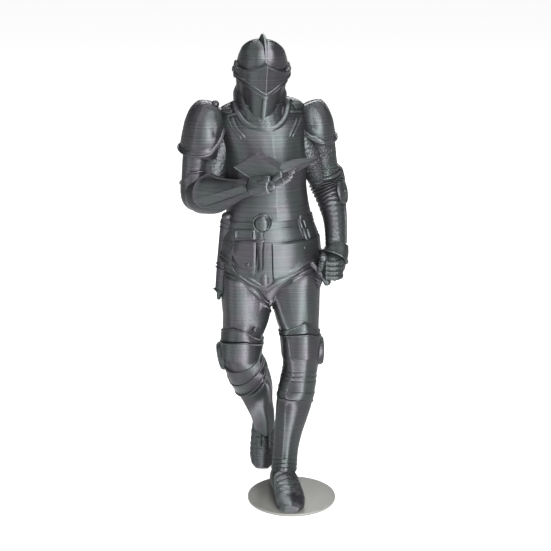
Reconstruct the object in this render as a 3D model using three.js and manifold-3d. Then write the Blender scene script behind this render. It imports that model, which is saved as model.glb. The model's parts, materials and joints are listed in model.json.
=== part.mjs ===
// A knight in plate armour who strolls along reading a book: a printed figure on a thin round base.
// Millimetres, +Z up, the figure looks along -Y. The origin is the centre of the base's underside.
import * as THREE from 'three';
import { mergeVertices } from 'three/addons/utils/BufferGeometryUtils.js';
import Module from 'manifold-3d';

const wasm = await Module();
wasm.setup();

// Driving dimensions
const FIGURE_HEIGHT = 208; // from the sole to the tip of the helmet's comb
const BASE_DIAMETER = 40;
const BASE_THICKNESS = 1.2;
const BASE_SIDES = 48;

// The pose and the proportions below are in design units, about a millimetre each. The sole is at height 0,
// and the whole figure is then brought to its height.

const V = (x, y, z) => new THREE.Vector3(x, y, z);
const rad = THREE.MathUtils.degToRad;
const FRONT = V(0, -1, 0);
const UP = V(0, 0, 1);
const facing = (degrees) => V(Math.sin(rad(degrees)), -Math.cos(rad(degrees)), 0);

// A geometry as a solid that can be joined and cut.
function solid(geometry) {
  geometry.deleteAttribute('normal');
  geometry.deleteAttribute('uv');
  const merged = mergeVertices(geometry, 1e-4);
  return new wasm.Manifold(new wasm.Mesh({
    numProp: 3,
    vertProperties: new Float32Array(merged.attributes.position.array),
    triVerts: new Uint32Array(merged.index.array),
  }));
}

// Moves every vertex of a geometry by a function of its old place.
function warp(geometry, place) {
  const position = geometry.attributes.position;
  const point = new THREE.Vector3();
  for (let i = 0; i < position.count; i++) {
    point.fromBufferAttribute(position, i);
    const moved = place(point.x, point.y, point.z);
    position.setXYZ(i, moved.x, moved.y, moved.z);
  }
  return geometry;
}

const join = (parts) => parts.reduce((whole, part) => whole.add(part));

// A limb is a soft body round a path. Each station is [x, y, z, side, front, back]: a point of the path
// and the half-widths of the section there. The path's share t runs from 0 to 1.
function limb(stations, front = FRONT) {
  const path = new THREE.CatmullRomCurve3(stations.map(([x, y, z]) => V(x, y, z)));
  const sizes = new THREE.CatmullRomCurve3(stations.map(([, , , side, ahead = side, behind = ahead]) => (
    V(side, ahead, behind))));
  return (t, angle, grow = 0, reach = 1) => {
    const along = path.getTangent(t);
    const side = front.clone().cross(along).normalize();
    const ahead = along.clone().cross(side);
    const size = sizes.getPoint(t);
    const c = Math.cos(angle);
    const depth = c > 0 ? size.y : size.z;
    return path.getPoint(t)
      .addScaledVector(side, reach * Math.sin(angle) * (size.x + grow))
      .addScaledVector(ahead, reach * c * (depth + grow));
  };
}

// The limb's body, drawn as rings from its start to its end. A ring is [share of the path, lift over the
// surface], and either may be a function of the angle, which is 0 in front.
const at = (value, angle) => (typeof value === 'function' ? value(angle) : value);

function body(surface, sides, rings) {
  const steps = rings.length - 1;
  return solid(warp(new THREE.CylinderGeometry(1, 1, 1, sides, steps), (x, y, z) => {
    const [share, lift] = rings[Math.round((0.5 - y) * steps)];
    const angle = Math.atan2(x, z);
    return surface(at(share, angle), angle, at(lift, angle), Math.hypot(x, z));
  }));
}

// Rings at even steps, and the four rings of a raised band.
const even = (from, to, steps, lift = 0) => (
  Array.from({ length: steps + 1 }, (_, i) => [
    (angle) => at(from, angle) + (at(to, angle) - at(from, angle)) * i / steps, lift,
  ]));
const band = (from, to, lift, before = 0, after = before) => [
  [from, before], [from, lift], [to, lift], [to, after],
];

// A value that changes evenly between the values given at some angles, in degrees.
function byAngle(degrees, values) {
  return (angle) => {
    const place = THREE.MathUtils.clamp(THREE.MathUtils.radToDeg(angle), degrees[0], degrees.at(-1));
    const i = Math.max(1, degrees.findIndex((mark) => mark >= place));
    const share = (place - degrees[i - 1]) / (degrees[i] - degrees[i - 1]);
    return values[i - 1] + share * (values[i] - values[i - 1]);
  };
}

// A plate that lies on a limb: angles and shares of the path, lift over the surface and thickness.
function plate(surface, { angles, top, bottom, lift, thick, across = 1, down = 2, crown = 0 }) {
  return solid(warp(new THREE.BoxGeometry(2, 1, 1, across, down, 1), (x, y, z) => {
    const angle = rad(angles[0] + (x + 1) / 2 * (angles[1] - angles[0]));
    const t = top + (0.5 - y) * (bottom - top);
    const dome = crown * (1 - x * x) * (1 - 4 * y * y);
    return surface(t, angle, z > 0 ? lift + dome : lift - thick);
  }));
}

// An ellipsoid with half-sizes along X, Y and Z.
function ball(centre, [rx, ry, rz], sides = 8) {
  const rows = Math.max(4, Math.round(sides / 2));
  return solid(warp(new THREE.SphereGeometry(1, sides, rows), (x, y, z) => (
    V(x * rx, -z * ry, y * rz).add(centre))));
}

// A round or flat bar between two points; its width lies along the given side direction.
function bar(from, to, width, thick, side, sides = 8, end = 1) {
  const along = to.clone().sub(from);
  const length = along.length();
  along.normalize();
  const across = side.clone().addScaledVector(along, -side.dot(along)).normalize();
  const out = along.clone().cross(across);
  return solid(warp(new THREE.CylinderGeometry(1, 1, 1, sides, 1), (x, y, z) => {
    const share = 0.5 - y;
    const taper = 1 + (end - 1) * share;
    return from.clone().addScaledVector(along, share * length)
      .addScaledVector(across, -x * width / 2 * taper)
      .addScaledVector(out, -z * thick / 2 * taper);
  }));
}

// A flat slab with square corners: a corner, two edges and a thickness along the third direction.
function slab(corner, edge1, edge2, thickness) {
  return solid(warp(new THREE.BoxGeometry(1, 1, 1), (x, y, z) => (
    corner.clone().addScaledVector(edge1, x + 0.5).addScaledVector(edge2, y + 0.5)
      .addScaledVector(thickness, z + 0.5))));
}

// A round plate of given radius and thickness that faces along a direction.
function disc(centre, axis, radius, thickness, sides = 14, end = 0.85) {
  const side = Math.abs(axis.z) > 0.9 ? V(1, 0, 0) : UP;
  const start = centre.clone().addScaledVector(axis, -thickness / 2);
  const stop = centre.clone().addScaledVector(axis, thickness / 2);
  return bar(start, stop, radius * 2, radius * 2, side, sides, end);
}

// Torso and hips
const TORSO_YAW = 9;
const torso = limb([
  [-13.6, 6.4, 180.8, 13, 7.6, 8.2],
  [-13.5, 6.6, 178.8, 17.6, 9.0, 9.6],
  [-13.3, 6.8, 173.6, 19.8, 11, 11.4],
  [-12.9, 7.0, 168, 19.4, 13.2, 12.6],
  [-12.3, 6.8, 161, 18.0, 15.4, 13.8],
  [-11.8, 6.6, 153, 17.9, 16.8, 14],
  [-11.4, 6.4, 144, 17.5, 16.2, 13],
  [-10.9, 6.2, 136, 18.0, 14.6, 12.4],
  [-10.5, 6.0, 128, 19.4, 14.0, 12.8],
  [-10.0, 5.8, 119, 21.0, 14.4, 14.2],
  [-9.8, 5.8, 110, 21.4, 14.4, 15.2],
  [-9.6, 5.8, 103, 18.0, 13.4, 14.8],
  [-9.6, 5.8, 98, 11.0, 9.4, 12.6],
  [-9.6, 5.8, 93.5, 4.6, 5.0, 9.6],
], facing(TORSO_YAW));
const BELT = 0.608; // shares of the torso's path: the belt's middle, and the end of the skirt's first lame
const FAULD = 0.672;
const EDGE = 0.004; // share of a path over which an edge steps down
const BREAST_RIDGE = 5.5; // where the breastplate's ridge runs, in degrees

// A keel over the front, as high as given at its ridge, which may lie off the middle.
const keel = (height, spread, lift = 0, ridge = 0) => (angle) => (
  lift + height * Math.max(0, 1 - Math.abs(angle - rad(ridge)) / rad(spread)));

function torsoParts() {
  const chest = keel(1.1, 24, 0, BREAST_RIDGE);
  // the hip plates' lower edge: a point at the crotch, which climbs to the hips
  const hem = byAngle(
    [-95, -54, -30, -12, 0, 18, 34, 95],
    [0.735, 0.77, 0.86, 0.93, 0.872, 0.825, 0.79, 0.76],
  );
  return [
    body(torso, 22, [
      ...even(0, 0.16, 2), ...even(0.23, 0.54, 5, chest), ...band(BELT - 0.016, BELT + 0.015, 0.7),
      ...band(BELT + 0.025, FAULD, 1.1, 0.3, 0.6), ...even(FAULD + EDGE, hem, 2, 1.3),
      ...even((angle) => hem(angle) + EDGE, 1, 1),
    ]),
    // under the crotch
    ball(V(-9.8, 6.2, 93.6), [4.4, 5.4, 4.4]),
  ];
}

// What hangs on the belt: buckle, strap end, pouch, side strap and dagger
const BUCKLE_ANGLE = -14;
const BUCKLE_RADIUS = 4.0;
const DAGGER_HILT = V(-28.4, -1, 131);
const DAGGER_TIP = V(-32.8, 4, 91.5);

function beltParts() {
  const height = BELT - 0.012;
  const middle = torso(height, rad(BUCKLE_ANGLE), 1.2);
  const outward = middle.clone().sub(torso(height, rad(BUCKLE_ANGLE), 0)).normalize();
  const strapEnd = { angles: [-20, -12], top: BELT + 0.02, bottom: 0.775, lift: 1.9, thick: 2.4, down: 3 };
  const pouchLoop = {
    angles: [-50, -22], top: BELT + 0.011, bottom: FAULD - 0.006, lift: 1.9, thick: 3.2, across: 2,
  };
  const pouch = {
    angles: [-56, -21], top: FAULD - 0.01, bottom: 0.8, lift: 2.2, thick: 3.8, across: 4, crown: 1.4,
  };
  const sideStrap = { angles: [35, 44], top: BELT - 0.01, bottom: FAULD + 0.004, lift: 1.9, thick: 2.6 };
  return [
    disc(middle, outward, BUCKLE_RADIUS, 2.6, 14, 0.8),
    ...[strapEnd, pouchLoop, pouch, sideStrap].map((shape) => plate(torso, shape)),
    ball(V(-12.2, -6.0, 106.2), [3.4, 3.6, 5.0]),
    // the sheathed dagger at the right hip
    bar(DAGGER_HILT, DAGGER_TIP, 5.6, 2.6, facing(55), 6, 0.7),
    ball(DAGGER_TIP, [1.3, 1.3, 1.9], 6),
    ball(DAGGER_HILT, [2.4, 2.2, 2.0], 6),
  ];
}

// Legs: the left one stands, the right one trails on its toes
const leftThigh = limb([
  [1.0, 6.5, 112, 10.4, 10.6, 11],
  [1.4, 6.2, 103, 11.0, 10.8, 11.2],
  [1.8, 5.9, 94, 10.4, 10.4, 10.6],
  [2.5, 5.6, 85, 9.7, 9.6, 9.4],
  [3.5, 5.2, 77, 8.5, 8.8, 8.4],
  [3.9, 5.0, 67, 7.9, 8.2, 7.8],
], facing(6));
const leftShin = limb([
  [3.9, 5.0, 68, 7.6, 8.4, 7.4],
  [3.6, 5.3, 60, 7.5, 8.0, 7.8],
  [2.6, 5.9, 52, 8.0, 7.6, 9.2],
  [1.2, 6.3, 44, 8.1, 7.4, 9.6],
  [-0.2, 6.9, 36, 7.3, 7.0, 8.6],
  [-1.6, 7.6, 28, 6.4, 6.2, 7.0],
  [-2.8, 8.4, 18, 5.8, 5.6, 5.8],
  [-3.4, 9.0, 9, 5.9, 5.8, 6.2],
], facing(4));
const rightThigh = limb([
  [-20.2, 6.5, 112, 10.4, 10.6, 11],
  [-20.4, 6.2, 103, 10.9, 10.8, 11.2],
  [-20.6, 6.0, 94, 10.8, 10.4, 10.8],
  [-20.6, 5.8, 86, 10.4, 9.8, 9.8],
  [-22.0, 5.4, 77, 9.2, 9.0, 8.8],
  [-22.8, 5.2, 66, 8.2, 8.4, 8.0],
], facing(-8));
const rightShin = limb([
  [-22.8, 5.0, 66.5, 7.8, 8.4, 7.6],
  [-21.2, 8.2, 60.6, 8.6, 8.0, 8.2],
  [-18.8, 13.0, 53.0, 9.0, 7.6, 9.6],
  [-17.0, 17.4, 46.2, 8.4, 7.4, 9.4],
  [-15.2, 23.4, 36.8, 6.6, 6.6, 7.8],
  [-13.4, 29.2, 27.8, 5.6, 5.8, 6.2],
  [-12.8, 33.6, 20.6, 5.0, 5.4, 5.6],
], facing(-4));

const LEG_SIDES = 12;
const KNEE_WING = [11.5, 12.5, 2.4]; // width, height and how far it stands out
const KNEE_WING_ANGLE = 92;

// The edges of a leg's plates, as shares of the thigh's or the shin's path.
// groin: the rolled top edge of the thigh plate, which runs under the groin, higher on the outer side.
// lame and knee: the top edges of the pointed lame and of the knee's cap.
// folds: the edges of the two lames under the knee; greave: where its even part starts.
// ridge and greaveRidge: where the keels of the knee and of the greave run, in degrees.
const slanted = (middle, slope) => (angle) => middle - slope * Math.sin(angle);
const sagging = (share) => byAngle([-60, 10, 80], [share + 0.042, share, share + 0.042]);
const leftEdges = {
  groin: byAngle([-95, -59, -52, 15, 95], [0.45, 0.3, 0.245, 0.095, 0.02]),
  lame: byAngle([-90, -50, 13, 55, 90], [0.74, 0.72, 0.64, 0.775, 0.79]),
  knee: byAngle([-90, -19, 16, 40, 90], [0.79, 0.762, 0.766, 0.804, 0.83]),
  folds: [0.104, 0.184, 0.283, 0.351].map(sagging),
  greave: 0.44,
  ridge: 10,
  greaveRidge: -14,
};
const rightEdges = {
  groin: byAngle([-95, -24, 0, 31, 59, 95], [0.03, 0.094, 0.132, 0.261, 0.403, 0.5]),
  lame: byAngle([-90, -50, -20, 12, 52, 90], [0.8, 0.774, 0.731, 0.737, 0.808, 0.83]),
  knee: byAngle([-90, -40, 15, 55, 90], [0.88, 0.86, 0.83, 0.856, 0.88]),
  folds: [slanted(0.156, 0.071), slanted(0.25, 0.1), slanted(0.327, 0.134), slanted(0.39, 0.13)],
  greave: 0.58,
  ridge: 0,
  greaveRidge: 0,
};

function legParts(thigh, shin, out, { groin, lame, knee, folds, greave, ridge, greaveRidge }) {
  const below = (edge, shift) => (angle) => edge(angle) + shift;
  const front = keel(0.9, 30, 0, greaveRidge);
  const cap = keel(1.6, 75, 0.8, ridge);
  const heart = shin(0.02, rad(out * KNEE_WING_ANGLE), 0);
  const sideways = shin(0.02, rad(out * KNEE_WING_ANGLE), 1).sub(heart).normalize();
  const [wingWidth, wingHeight, wingReach] = KNEE_WING;
  return [
    body(thigh, LEG_SIDES, [
      [0, 0], ...band(groin, below(groin, 0.04), 0.8), [0.58, 0],
      ...band(lame, knee, 0.9, 0, 0.4), [below(knee, 0.02), cap], [1, cap],
    ]),
    // below the knee: two lames, then the greave with its keel
    body(shin, LEG_SIDES, [
      [0, cap], [0.07, cap], ...band(folds[0], folds[1], 0.9, 0.4),
      ...band(folds[2], folds[3], 0.8, 0.2, front), ...even(greave, 1, 5, front),
    ]),
    ball(shin(0, 0, 0, 0), [8.6, 10.2, 10.2], 10),
    // the knee's side wing
    bar(heart, heart.clone().addScaledVector(sideways, wingReach), wingWidth, wingHeight, FRONT, 10, 0.8),
  ];
}

// A foot runs from heel to toe as a limb of its own, with a flat sole and a ridge over the instep.
const FOOT_LAMES = 3;

function foot(stations, sole) {
  const rings = even(0, 0.42, 4);
  for (let i = 0; i < FOOT_LAMES; i++) {
    const chevron = (shift) => (angle) => 0.48 + 0.13 * i + shift - 0.03 * Math.cos(angle);
    const over = (lift) => (angle) => lift * Math.max(0, Math.cos(angle));
    rings.push([chevron(0), 0], [chevron(0), over(0.8)], [chevron(0.11), over(0.3)]);
  }
  rings.push(...even(0.9, 1, 2));
  return body(limb(stations, sole), 10, rings);
}

// stations of the foot: [x, y, z of the middle, half-width, height above, depth below]
const leftFoot = () => foot([
  [-5.2, 15.2, 3.0, 3.2, 3.4, 3.6],
  [-4.8, 13.4, 3.2, 5.4, 7.0, 3.8],
  [-3.8, 9.0, 3.4, 6.2, 8.6, 4.0],
  [-2.7, 3.0, 3.4, 6.1, 6.6, 4.0],
  [-1.6, -3.5, 3.0, 6.4, 4.8, 3.6],
  [-0.8, -9.5, 2.6, 6.5, 3.6, 3.2],
  [-0.5, -14.4, 2.3, 6.2, 2.9, 2.9],
  [-0.5, -18.9, 2.0, 4.4, 1.7, 2.2],
], UP);
const FOOT_PITCH = 50;
const rightFoot = () => {
  const back = V(0.03, Math.cos(rad(FOOT_PITCH)), Math.sin(rad(FOOT_PITCH)));
  const up = V(0, -Math.sin(rad(FOOT_PITCH)), Math.cos(rad(FOOT_PITCH)));
  const toe = V(-13.8, 29.4, 1.0);
  const from = (along, high) => (
    toe.clone().addScaledVector(back, along).addScaledVector(up, high).toArray());
  return foot([
    [...from(27.4, 3.0), 3.0, 3.2, 3.4],
    [...from(25.2, 3.2), 4.8, 6.4, 3.6],
    [...from(20.0, 3.4), 5.6, 7.6, 3.8],
    [...from(14.0, 3.3), 5.8, 6.0, 3.8],
    [...from(8.5, 3.0), 6.0, 4.6, 3.4],
    [...from(4.0, 2.7), 5.9, 3.8, 3.0],
    [...from(0.6, 2.4), 5.0, 3.0, 2.6],
    [...from(-1.6, 2.2), 3.0, 1.8, 1.8],
  ], up);
};

// Arms
const rightUpperArm = limb([
  [-38.6, 3.6, 172, 6.6], [-40.4, 3.4, 165, 6.2], [-41.4, 3.2, 157, 5.8], [-42.0, 3.0, 149, 5.8],
  [-42.4, 2.8, 141, 6.0],
]);
const rightForearm = limb([
  [-43.4, 5.0, 139.6, 5.2], [-39.2, 0.8, 140.6, 7.8], [-34.0, -4.2, 141.8, 8.0], [-28.0, -9.6, 143.6, 5.8],
  [-22.0, -15.0, 146.0, 3.6], [-17.6, -18.8, 147.9, 3.0],
], UP);
const leftUpperArm = limb([
  [9.6, 11.0, 172, 6.8], [11.4, 12.0, 165, 6.6], [13.0, 13.4, 156, 6.2], [14.2, 14.4, 148, 6.0],
  [15.2, 15.2, 139.5, 6.2],
]);
const leftForearm = limb([
  [15.4, 15.8, 141, 6.0], [16.2, 13.0, 134.5, 6.5], [17.2, 9.6, 128, 5.9], [18.4, 6.2, 121.5, 5.0],
  [19.0, 3.4, 115.5, 4.6],
]);
const rightSleeve = limb([
  [-27, 7.6, 170, 7.5], [-31.6, 6.6, 160, 7.8], [-34.6, 5.6, 149, 7.8], [-38.4, 4.6, 141, 5.4],
]);
const leftSleeve = limb([
  [2, 9.4, 168, 7.2], [6.4, 10.6, 158, 6.4], [10.6, 12.4, 148, 5.2], [13, 14, 142, 4.2],
]);
const ARM_SIDES = 12;
const SLEEVE_RIBS = 7;

function armParts() {
  const pitch = 0.9 / SLEEVE_RIBS;
  const ribs = [];
  for (let i = 0; i < SLEEVE_RIBS; i++) {
    const valley = 0.04 + i * pitch;
    ribs.push([valley, -0.5], [valley + pitch / 2, 0.6]);
  }
  const outerPlate = { angles: [75, 205], top: 0.08, bottom: 0.97, lift: 0.9, thick: 2.5, across: 4 };
  return [
    body(rightUpperArm, ARM_SIDES, even(0, 1, 2)),
    body(leftUpperArm, ARM_SIDES, even(0, 1, 2)),
    // the sleeves under the armpits
    body(rightSleeve, 8, even(0, 1, 2)),
    body(leftSleeve, 8, even(0, 1, 2)),
    // right elbow and forearm, whose plate has a flared mouth
    ball(V(-42.0, 3.0, 140.8), [6.6, 6.4, 7.8], 10),
    body(rightForearm, ARM_SIDES, [[0, 0], ...band(0.22, 0.27, 1.0), ...even(0.4, 1, 4)]),
    // left elbow with its wing, and the ribbed sleeve with its outer plate
    ball(V(16.6, 16.4, 139.5), [6.4, 6.0, 7.0]),
    disc(V(22.2, 13.6, 139.6), V(0.94, -0.34, -0.02).normalize(), 6.3, 2.6, 12, 0.75),
    body(leftForearm, 10, [[0, 0], ...ribs, [1, 0]]),
    plate(leftForearm, outerPlate),
  ];
}

// Pauldrons: domes over the shoulders with a flared lower rim
function pauldronParts() {
  const right = limb([
    [-34.6, 2.4, 180.6, 2.0, 2.2], [-35.1, 2.4, 179.3, 5.3, 6.2], [-36.4, 2.6, 175.5, 7.8, 9.0],
    [-37.2, 2.8, 171.3, 9.0, 10.4], [-37.8, 3.2, 166, 9.7, 11.0], [-38.6, 3.8, 161.2, 9.9, 11.0],
    [-39.0, 4.2, 159.0, 10.3, 11.4],
  ], facing(12));
  const left = limb([
    [6.8, 9.6, 179.7, 2.0, 2.2], [7.2, 9.6, 178.7, 5.6, 6.4], [8.4, 10.0, 175.0, 7.3, 8.8],
    [9.4, 10.6, 170.4, 8.2, 10.0], [10.2, 11.4, 165.6, 8.3, 10.2], [10.9, 12.0, 162.6, 8.5, 10.4],
  ], facing(12));
  // the lower rims, which climb over the breast to the shoulder
  const rightRim = byAngle(
    [-180, -130, -60, -20, 6, 35, 50, 75, 95, 130, 150, 180],
    [0.9, 1, 1, 0.93, 0.85, 0.675, 0.54, 0.45, 0.5, 0.55, 0.7, 0.9],
  );
  const leftRim = byAngle(
    [-180, -150, -130, -95, -71, -58, -46, -25, -8, 20, 130, 180],
    [0.9, 0.75, 0.6, 0.5, 0.45, 0.64, 0.7, 0.79, 0.87, 1, 1, 0.9],
  );
  const dome = (surface, rim) => {
    const rings = [0, 0.17, 0.38, 0.7, 1].map((share) => [(angle) => share * rim(angle), 0]);
    return body(surface, 14, [...rings, [rim, -1.6], [1, -2.4]]);
  };
  return [
    dome(right, rightRim),
    dome(left, leftRim),
    ball(V(-32.8, 0.4, 180.0), [1.7, 1.7, 1.6]),
  ];
}

// Helmet, in the head's own frame: bowed over the book
const HEAD_YAW = 8;
const HEAD_PITCH = 17;
const HEAD_ROLL = 2;
const HEAD = V(-13.2, 1.6, 193.5);
const headTurn = new THREE.Matrix4().makeRotationZ(rad(HEAD_YAW))
  .multiply(new THREE.Matrix4().makeRotationX(rad(HEAD_PITCH)))
  .multiply(new THREE.Matrix4().makeRotationY(rad(HEAD_ROLL)));
const onHead = (x, y, z) => V(x, y, z).applyMatrix4(headTurn).add(HEAD);
const headFront = V(0, -1, 0).applyMatrix4(headTurn);

function headLimb(stations) {
  return limb(stations.map(([y, z, ...sizes]) => [...onHead(0, y, z).toArray(), ...sizes]), headFront);
}

function helmet() {
  const skull = headLimb([
    [0.6, 13.3, 1.6, 1.8, 2.0], [0.5, 12.5, 5.4, 5.8, 6.0], [0.4, 9.6, 9.0, 9.8, 10.0],
    [0.2, 5.0, 10.5, 11.6, 11.9], [0, 0, 10.6, 12.3, 12.2], [0, -5.0, 10.0, 13.2, 11.4],
    [0, -10.0, 9.4, 12.6, 10.4], [0, -15.0, 8.6, 11.6, 9.6], [0, -19, 6.6, 9.4, 8.0],
    [0, -20.6, 4.4, 6.6, 6.0],
  ]);
  // the visor's edges: a peak over the keel above, a point at the keel below, narrow at the pivots
  const drop = (angle) => Math.sin(1.5 * Math.min(Math.abs(angle), rad(60)));
  const sight = (angle) => 0.265 + 0.11 * drop(angle);
  const point = (angle) => 0.53 - 0.08 * drop(angle);
  const inFront = (lift, rise, reach) => (angle) => (
    Math.abs(angle) > rad(reach) ? 0 : lift + rise * Math.max(0, 1 - Math.abs(angle) / rad(40)));
  const visor = inFront(1.3, 1.8, 82);
  const bevor = inFront(0.5, 1.5, 100);
  const middle = (angle) => (sight(angle) + point(angle)) / 2;
  return body(skull, 16, [
    [0, 0], [0.09, 0], [0.17, 0], ...even(0.23, sight, 2), [sight, visor], [middle, visor],
    [point, visor], [point, bevor], ...even((angle) => point(angle) + 0.08, 0.93, 3, bevor), [1, 0],
  ]);
}

// The comb over the crown, thinner at its edge
const COMB_LENGTH = 13.2; // half of it, from the middle of the head to the brow
const COMB_HEIGHT = 15.4;
const COMB_HALF_WIDTHS = [2.4, 0.6]; // at the root and at the edge

function comb() {
  const outline = new THREE.Shape();
  outline.absellipse(0, 0, COMB_LENGTH, COMB_HEIGHT, rad(5), rad(165), false);
  outline.lineTo(-8, 2);
  outline.lineTo(8, 1);
  outline.closePath();
  const blade = new THREE.ExtrudeGeometry(outline, { depth: 2, bevelEnabled: false, curveSegments: 12 });
  const [root, edge] = COMB_HALF_WIDTHS;
  return solid(warp(blade, (x, y, z) => (
    onHead((1 - z) * (Math.hypot(x, y) > 10 ? edge : root), 0.4 - x, y + 0.3))));
}

function headParts() {
  // the visor's pivots
  const ears = [-1, 1].map((side) => (
    disc(onHead(side * 10.6, 1.2, 1.6), V(side, 0.12, 0).applyMatrix4(headTurn), 3.3, 3.0, 12, 0.85)));
  // the neck's collar and the gorget's rim
  const neck = limb([
    [-13.9, 5.4, 187.5, 10.2, 9.8, 10.0], [-14.0, 5.6, 183.5, 11.5, 10.6, 11.0],
    [-13.9, 5.8, 179, 11.2, 10.8, 11.2], [-13.7, 6.0, 174, 12.6, 12.4, 12.4],
    [-13.4, 6.0, 170.5, 14.0, 13.6, 13.4],
  ], facing(TORSO_YAW));
  return [helmet(), comb(), ...ears, body(neck, 14, [...even(0, 0.75, 3), ...band(0.82, 1, 1.1)])];
}

// The open book on the right hand
const BOOK_NEAR = V(-4.8, -31.0, 157.0); // the end of the spine away from the reader
const BOOK_SPINE = V(-9.0, 15.8, -8.4);
const BOOK_LEFT = V(-10.7, -2.0, 7.6);
const BOOK_RIGHT = V(15.0, 8.0, 3.2);
const BOOK_THICK = 1.7;

function bookParts() {
  // each wing is given by its outside cover, and its thickness points up, towards the reader
  const wing = (first, second) => {
    const inward = first.clone().cross(second).normalize().multiplyScalar(BOOK_THICK);
    return slab(BOOK_NEAR, first, second, inward);
  };
  return [
    wing(BOOK_SPINE, BOOK_LEFT),
    wing(BOOK_RIGHT, BOOK_SPINE),
    bar(BOOK_NEAR, BOOK_NEAR.clone().add(BOOK_SPINE), 3.2, 2.6, BOOK_RIGHT),
  ];
}

// The right hand: palm under the spine, fingers towards the other wing. The left hand: a fist under a cuff.
const WRIST = V(-18.4, -18.2, 147.8);
const PALM = V(-8.4, -24.2, 151.0);
const PALM_ACROSS = V(0.45, -0.72, 0.25).normalize();
const FINGER = V(11.4, -0.2, 5.6);
const FINGER_PITCH = 2.1;

function handParts() {
  const fingers = [-1.5, -0.5, 0.5, 1.5].map((place) => {
    const root = PALM.clone().addScaledVector(PALM_ACROSS, place * FINGER_PITCH).add(V(-2.4, 0.6, -0.6));
    return bar(root, root.clone().add(FINGER), 2.3, 2.6, PALM_ACROSS, 6, 0.85);
  });
  const cuff = limb([
    [19.7, 4.2, 117.8, 4.8], [18.9, 3.2, 115.2, 5.8], [17.9, 2.2, 112.9, 6.2],
  ], facing(30));
  return [
    bar(WRIST, PALM, 7.6, 5.4, PALM_ACROSS, 10, 1.1),
    ...fingers,
    bar(V(-15.5, -21.5, 149.0), V(-10.2, -28.6, 152.8), 3.2, 3.0, UP, 8, 0.75),
    body(cuff, ARM_SIDES, even(0, 1, 2)),
    ball(V(17.8, -0.4, 111.4), [5.4, 6.0, 5.2], 10),
  ];
}

// The sword at the left hip: the scabbard trails back behind the left thigh
const SWORD_GUARD = V(11.8, -2.6, 107.0);
const SWORD_LINE = V(-0.16, 0.55, -0.82).normalize();
const SWORD_ACROSS = V(0.6, -0.2, -0.75).normalize();
const SCABBARD_LENGTH = 64;
const GRIP_LENGTH = 9;
const QUILLONS = [-4.5, 7]; // where the guard's two arms end

function swordParts() {
  const along = (distance) => SWORD_GUARD.clone().addScaledVector(SWORD_LINE, distance);
  const [back, front] = QUILLONS.map((reach) => SWORD_GUARD.clone().addScaledVector(SWORD_ACROSS, reach));
  return [
    bar(along(-1), along(SCABBARD_LENGTH), 5.0, 2.6, SWORD_ACROSS, 6, 0.72),
    ball(along(SCABBARD_LENGTH), [1.6, 2.2, 1.8], 6),
    bar(along(-GRIP_LENGTH), along(0), 2.8, 2.6, SWORD_ACROSS, 6),
    ball(along(-GRIP_LENGTH - 0.5), [1.9, 1.9, 1.9], 6),
    bar(back, front, 2.4, 2.2, SWORD_LINE, 6),
  ];
}

// Shoulder straps that run down onto the breastplate
function strapParts() {
  // each strap is two short bars between places given as [share of the torso's path, angle]
  const strap = (top, low) => {
    const point = (s) => {
      const [share, angle] = top.map((value, i) => value + (low[i] - value) * s);
      return torso(share, rad(angle), 0.9);
    };
    const half = (from, to) => bar(point(from), point(to), 3.2, 2.0, facing(90), 6);
    return [half(-0.03, 0.53), half(0.47, 1.03)];
  };
  return [...strap([0.122, -46], [0.246, -30]), ...strap([0.15, 46], [0.266, 29.5])];
}

function figure() {
  const whole = join([
    ...torsoParts(), ...beltParts(), ...strapParts(), ...headParts(),
    ...armParts(), ...pauldronParts(), ...handParts(), ...bookParts(), ...swordParts(),
    ...legParts(leftThigh, leftShin, 1, leftEdges), ...legParts(rightThigh, rightShin, -1, rightEdges),
    leftFoot(), rightFoot(),
  ]);
  // the soles are flat: everything under them is cut away
  const below = slab(V(-100, -100, -50), V(200, 0, 0), V(0, 200, 0), V(0, 0, 50));
  return whole.subtract(below);
}

function figureGeometry() {
  const whole = figure();
  const unit = FIGURE_HEIGHT / whole.boundingBox().max[2];
  const { vertProperties, numProp, triVerts } = whole.getMesh();
  const position = new Float32Array((vertProperties.length / numProp) * 3);
  for (let i = 0; i < position.length / 3; i++) {
    const [x, y, z] = vertProperties.subarray(i * numProp, i * numProp + 3);
    position.set([x * unit, y * unit, BASE_THICKNESS + (Math.abs(z) < 1e-4 ? 0 : z * unit)], i * 3);
  }
  const geometry = new THREE.BufferGeometry();
  geometry.setAttribute('position', new THREE.BufferAttribute(position, 3));
  geometry.setIndex(new THREE.BufferAttribute(new Uint32Array(triVerts), 1));
  return geometry;
}

function baseGeometry() {
  const radius = BASE_DIAMETER / 2;
  const geometry = new THREE.CylinderGeometry(radius, radius, BASE_THICKNESS, BASE_SIDES);
  geometry.rotateX(Math.PI / 2);
  geometry.translate(0, 0, BASE_THICKNESS / 2);
  return geometry;
}

function piece(name, geometry, color, roughness, metalness) {
  const mesh = new THREE.Mesh(geometry, new THREE.MeshStandardMaterial({ color, roughness, metalness }));
  mesh.name = name;
  return mesh;
}

const statue = new THREE.Group();
statue.name = 'knight_statue';
statue.add(piece('knight_figure', figureGeometry(), 0x4a4e50, 0.38, 0.6));
statue.add(piece('round_base', baseGeometry(), 0x868680, 0.6, 0.1));

export default statue;
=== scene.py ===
"""A printed figurine of a knight who strolls and reads: a fine mesh for the figure, its base, a studio."""

import json
from math import cos, pi, radians, sin

import bmesh
import bpy
import numpy as np
from mathutils import Matrix, Vector

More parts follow.
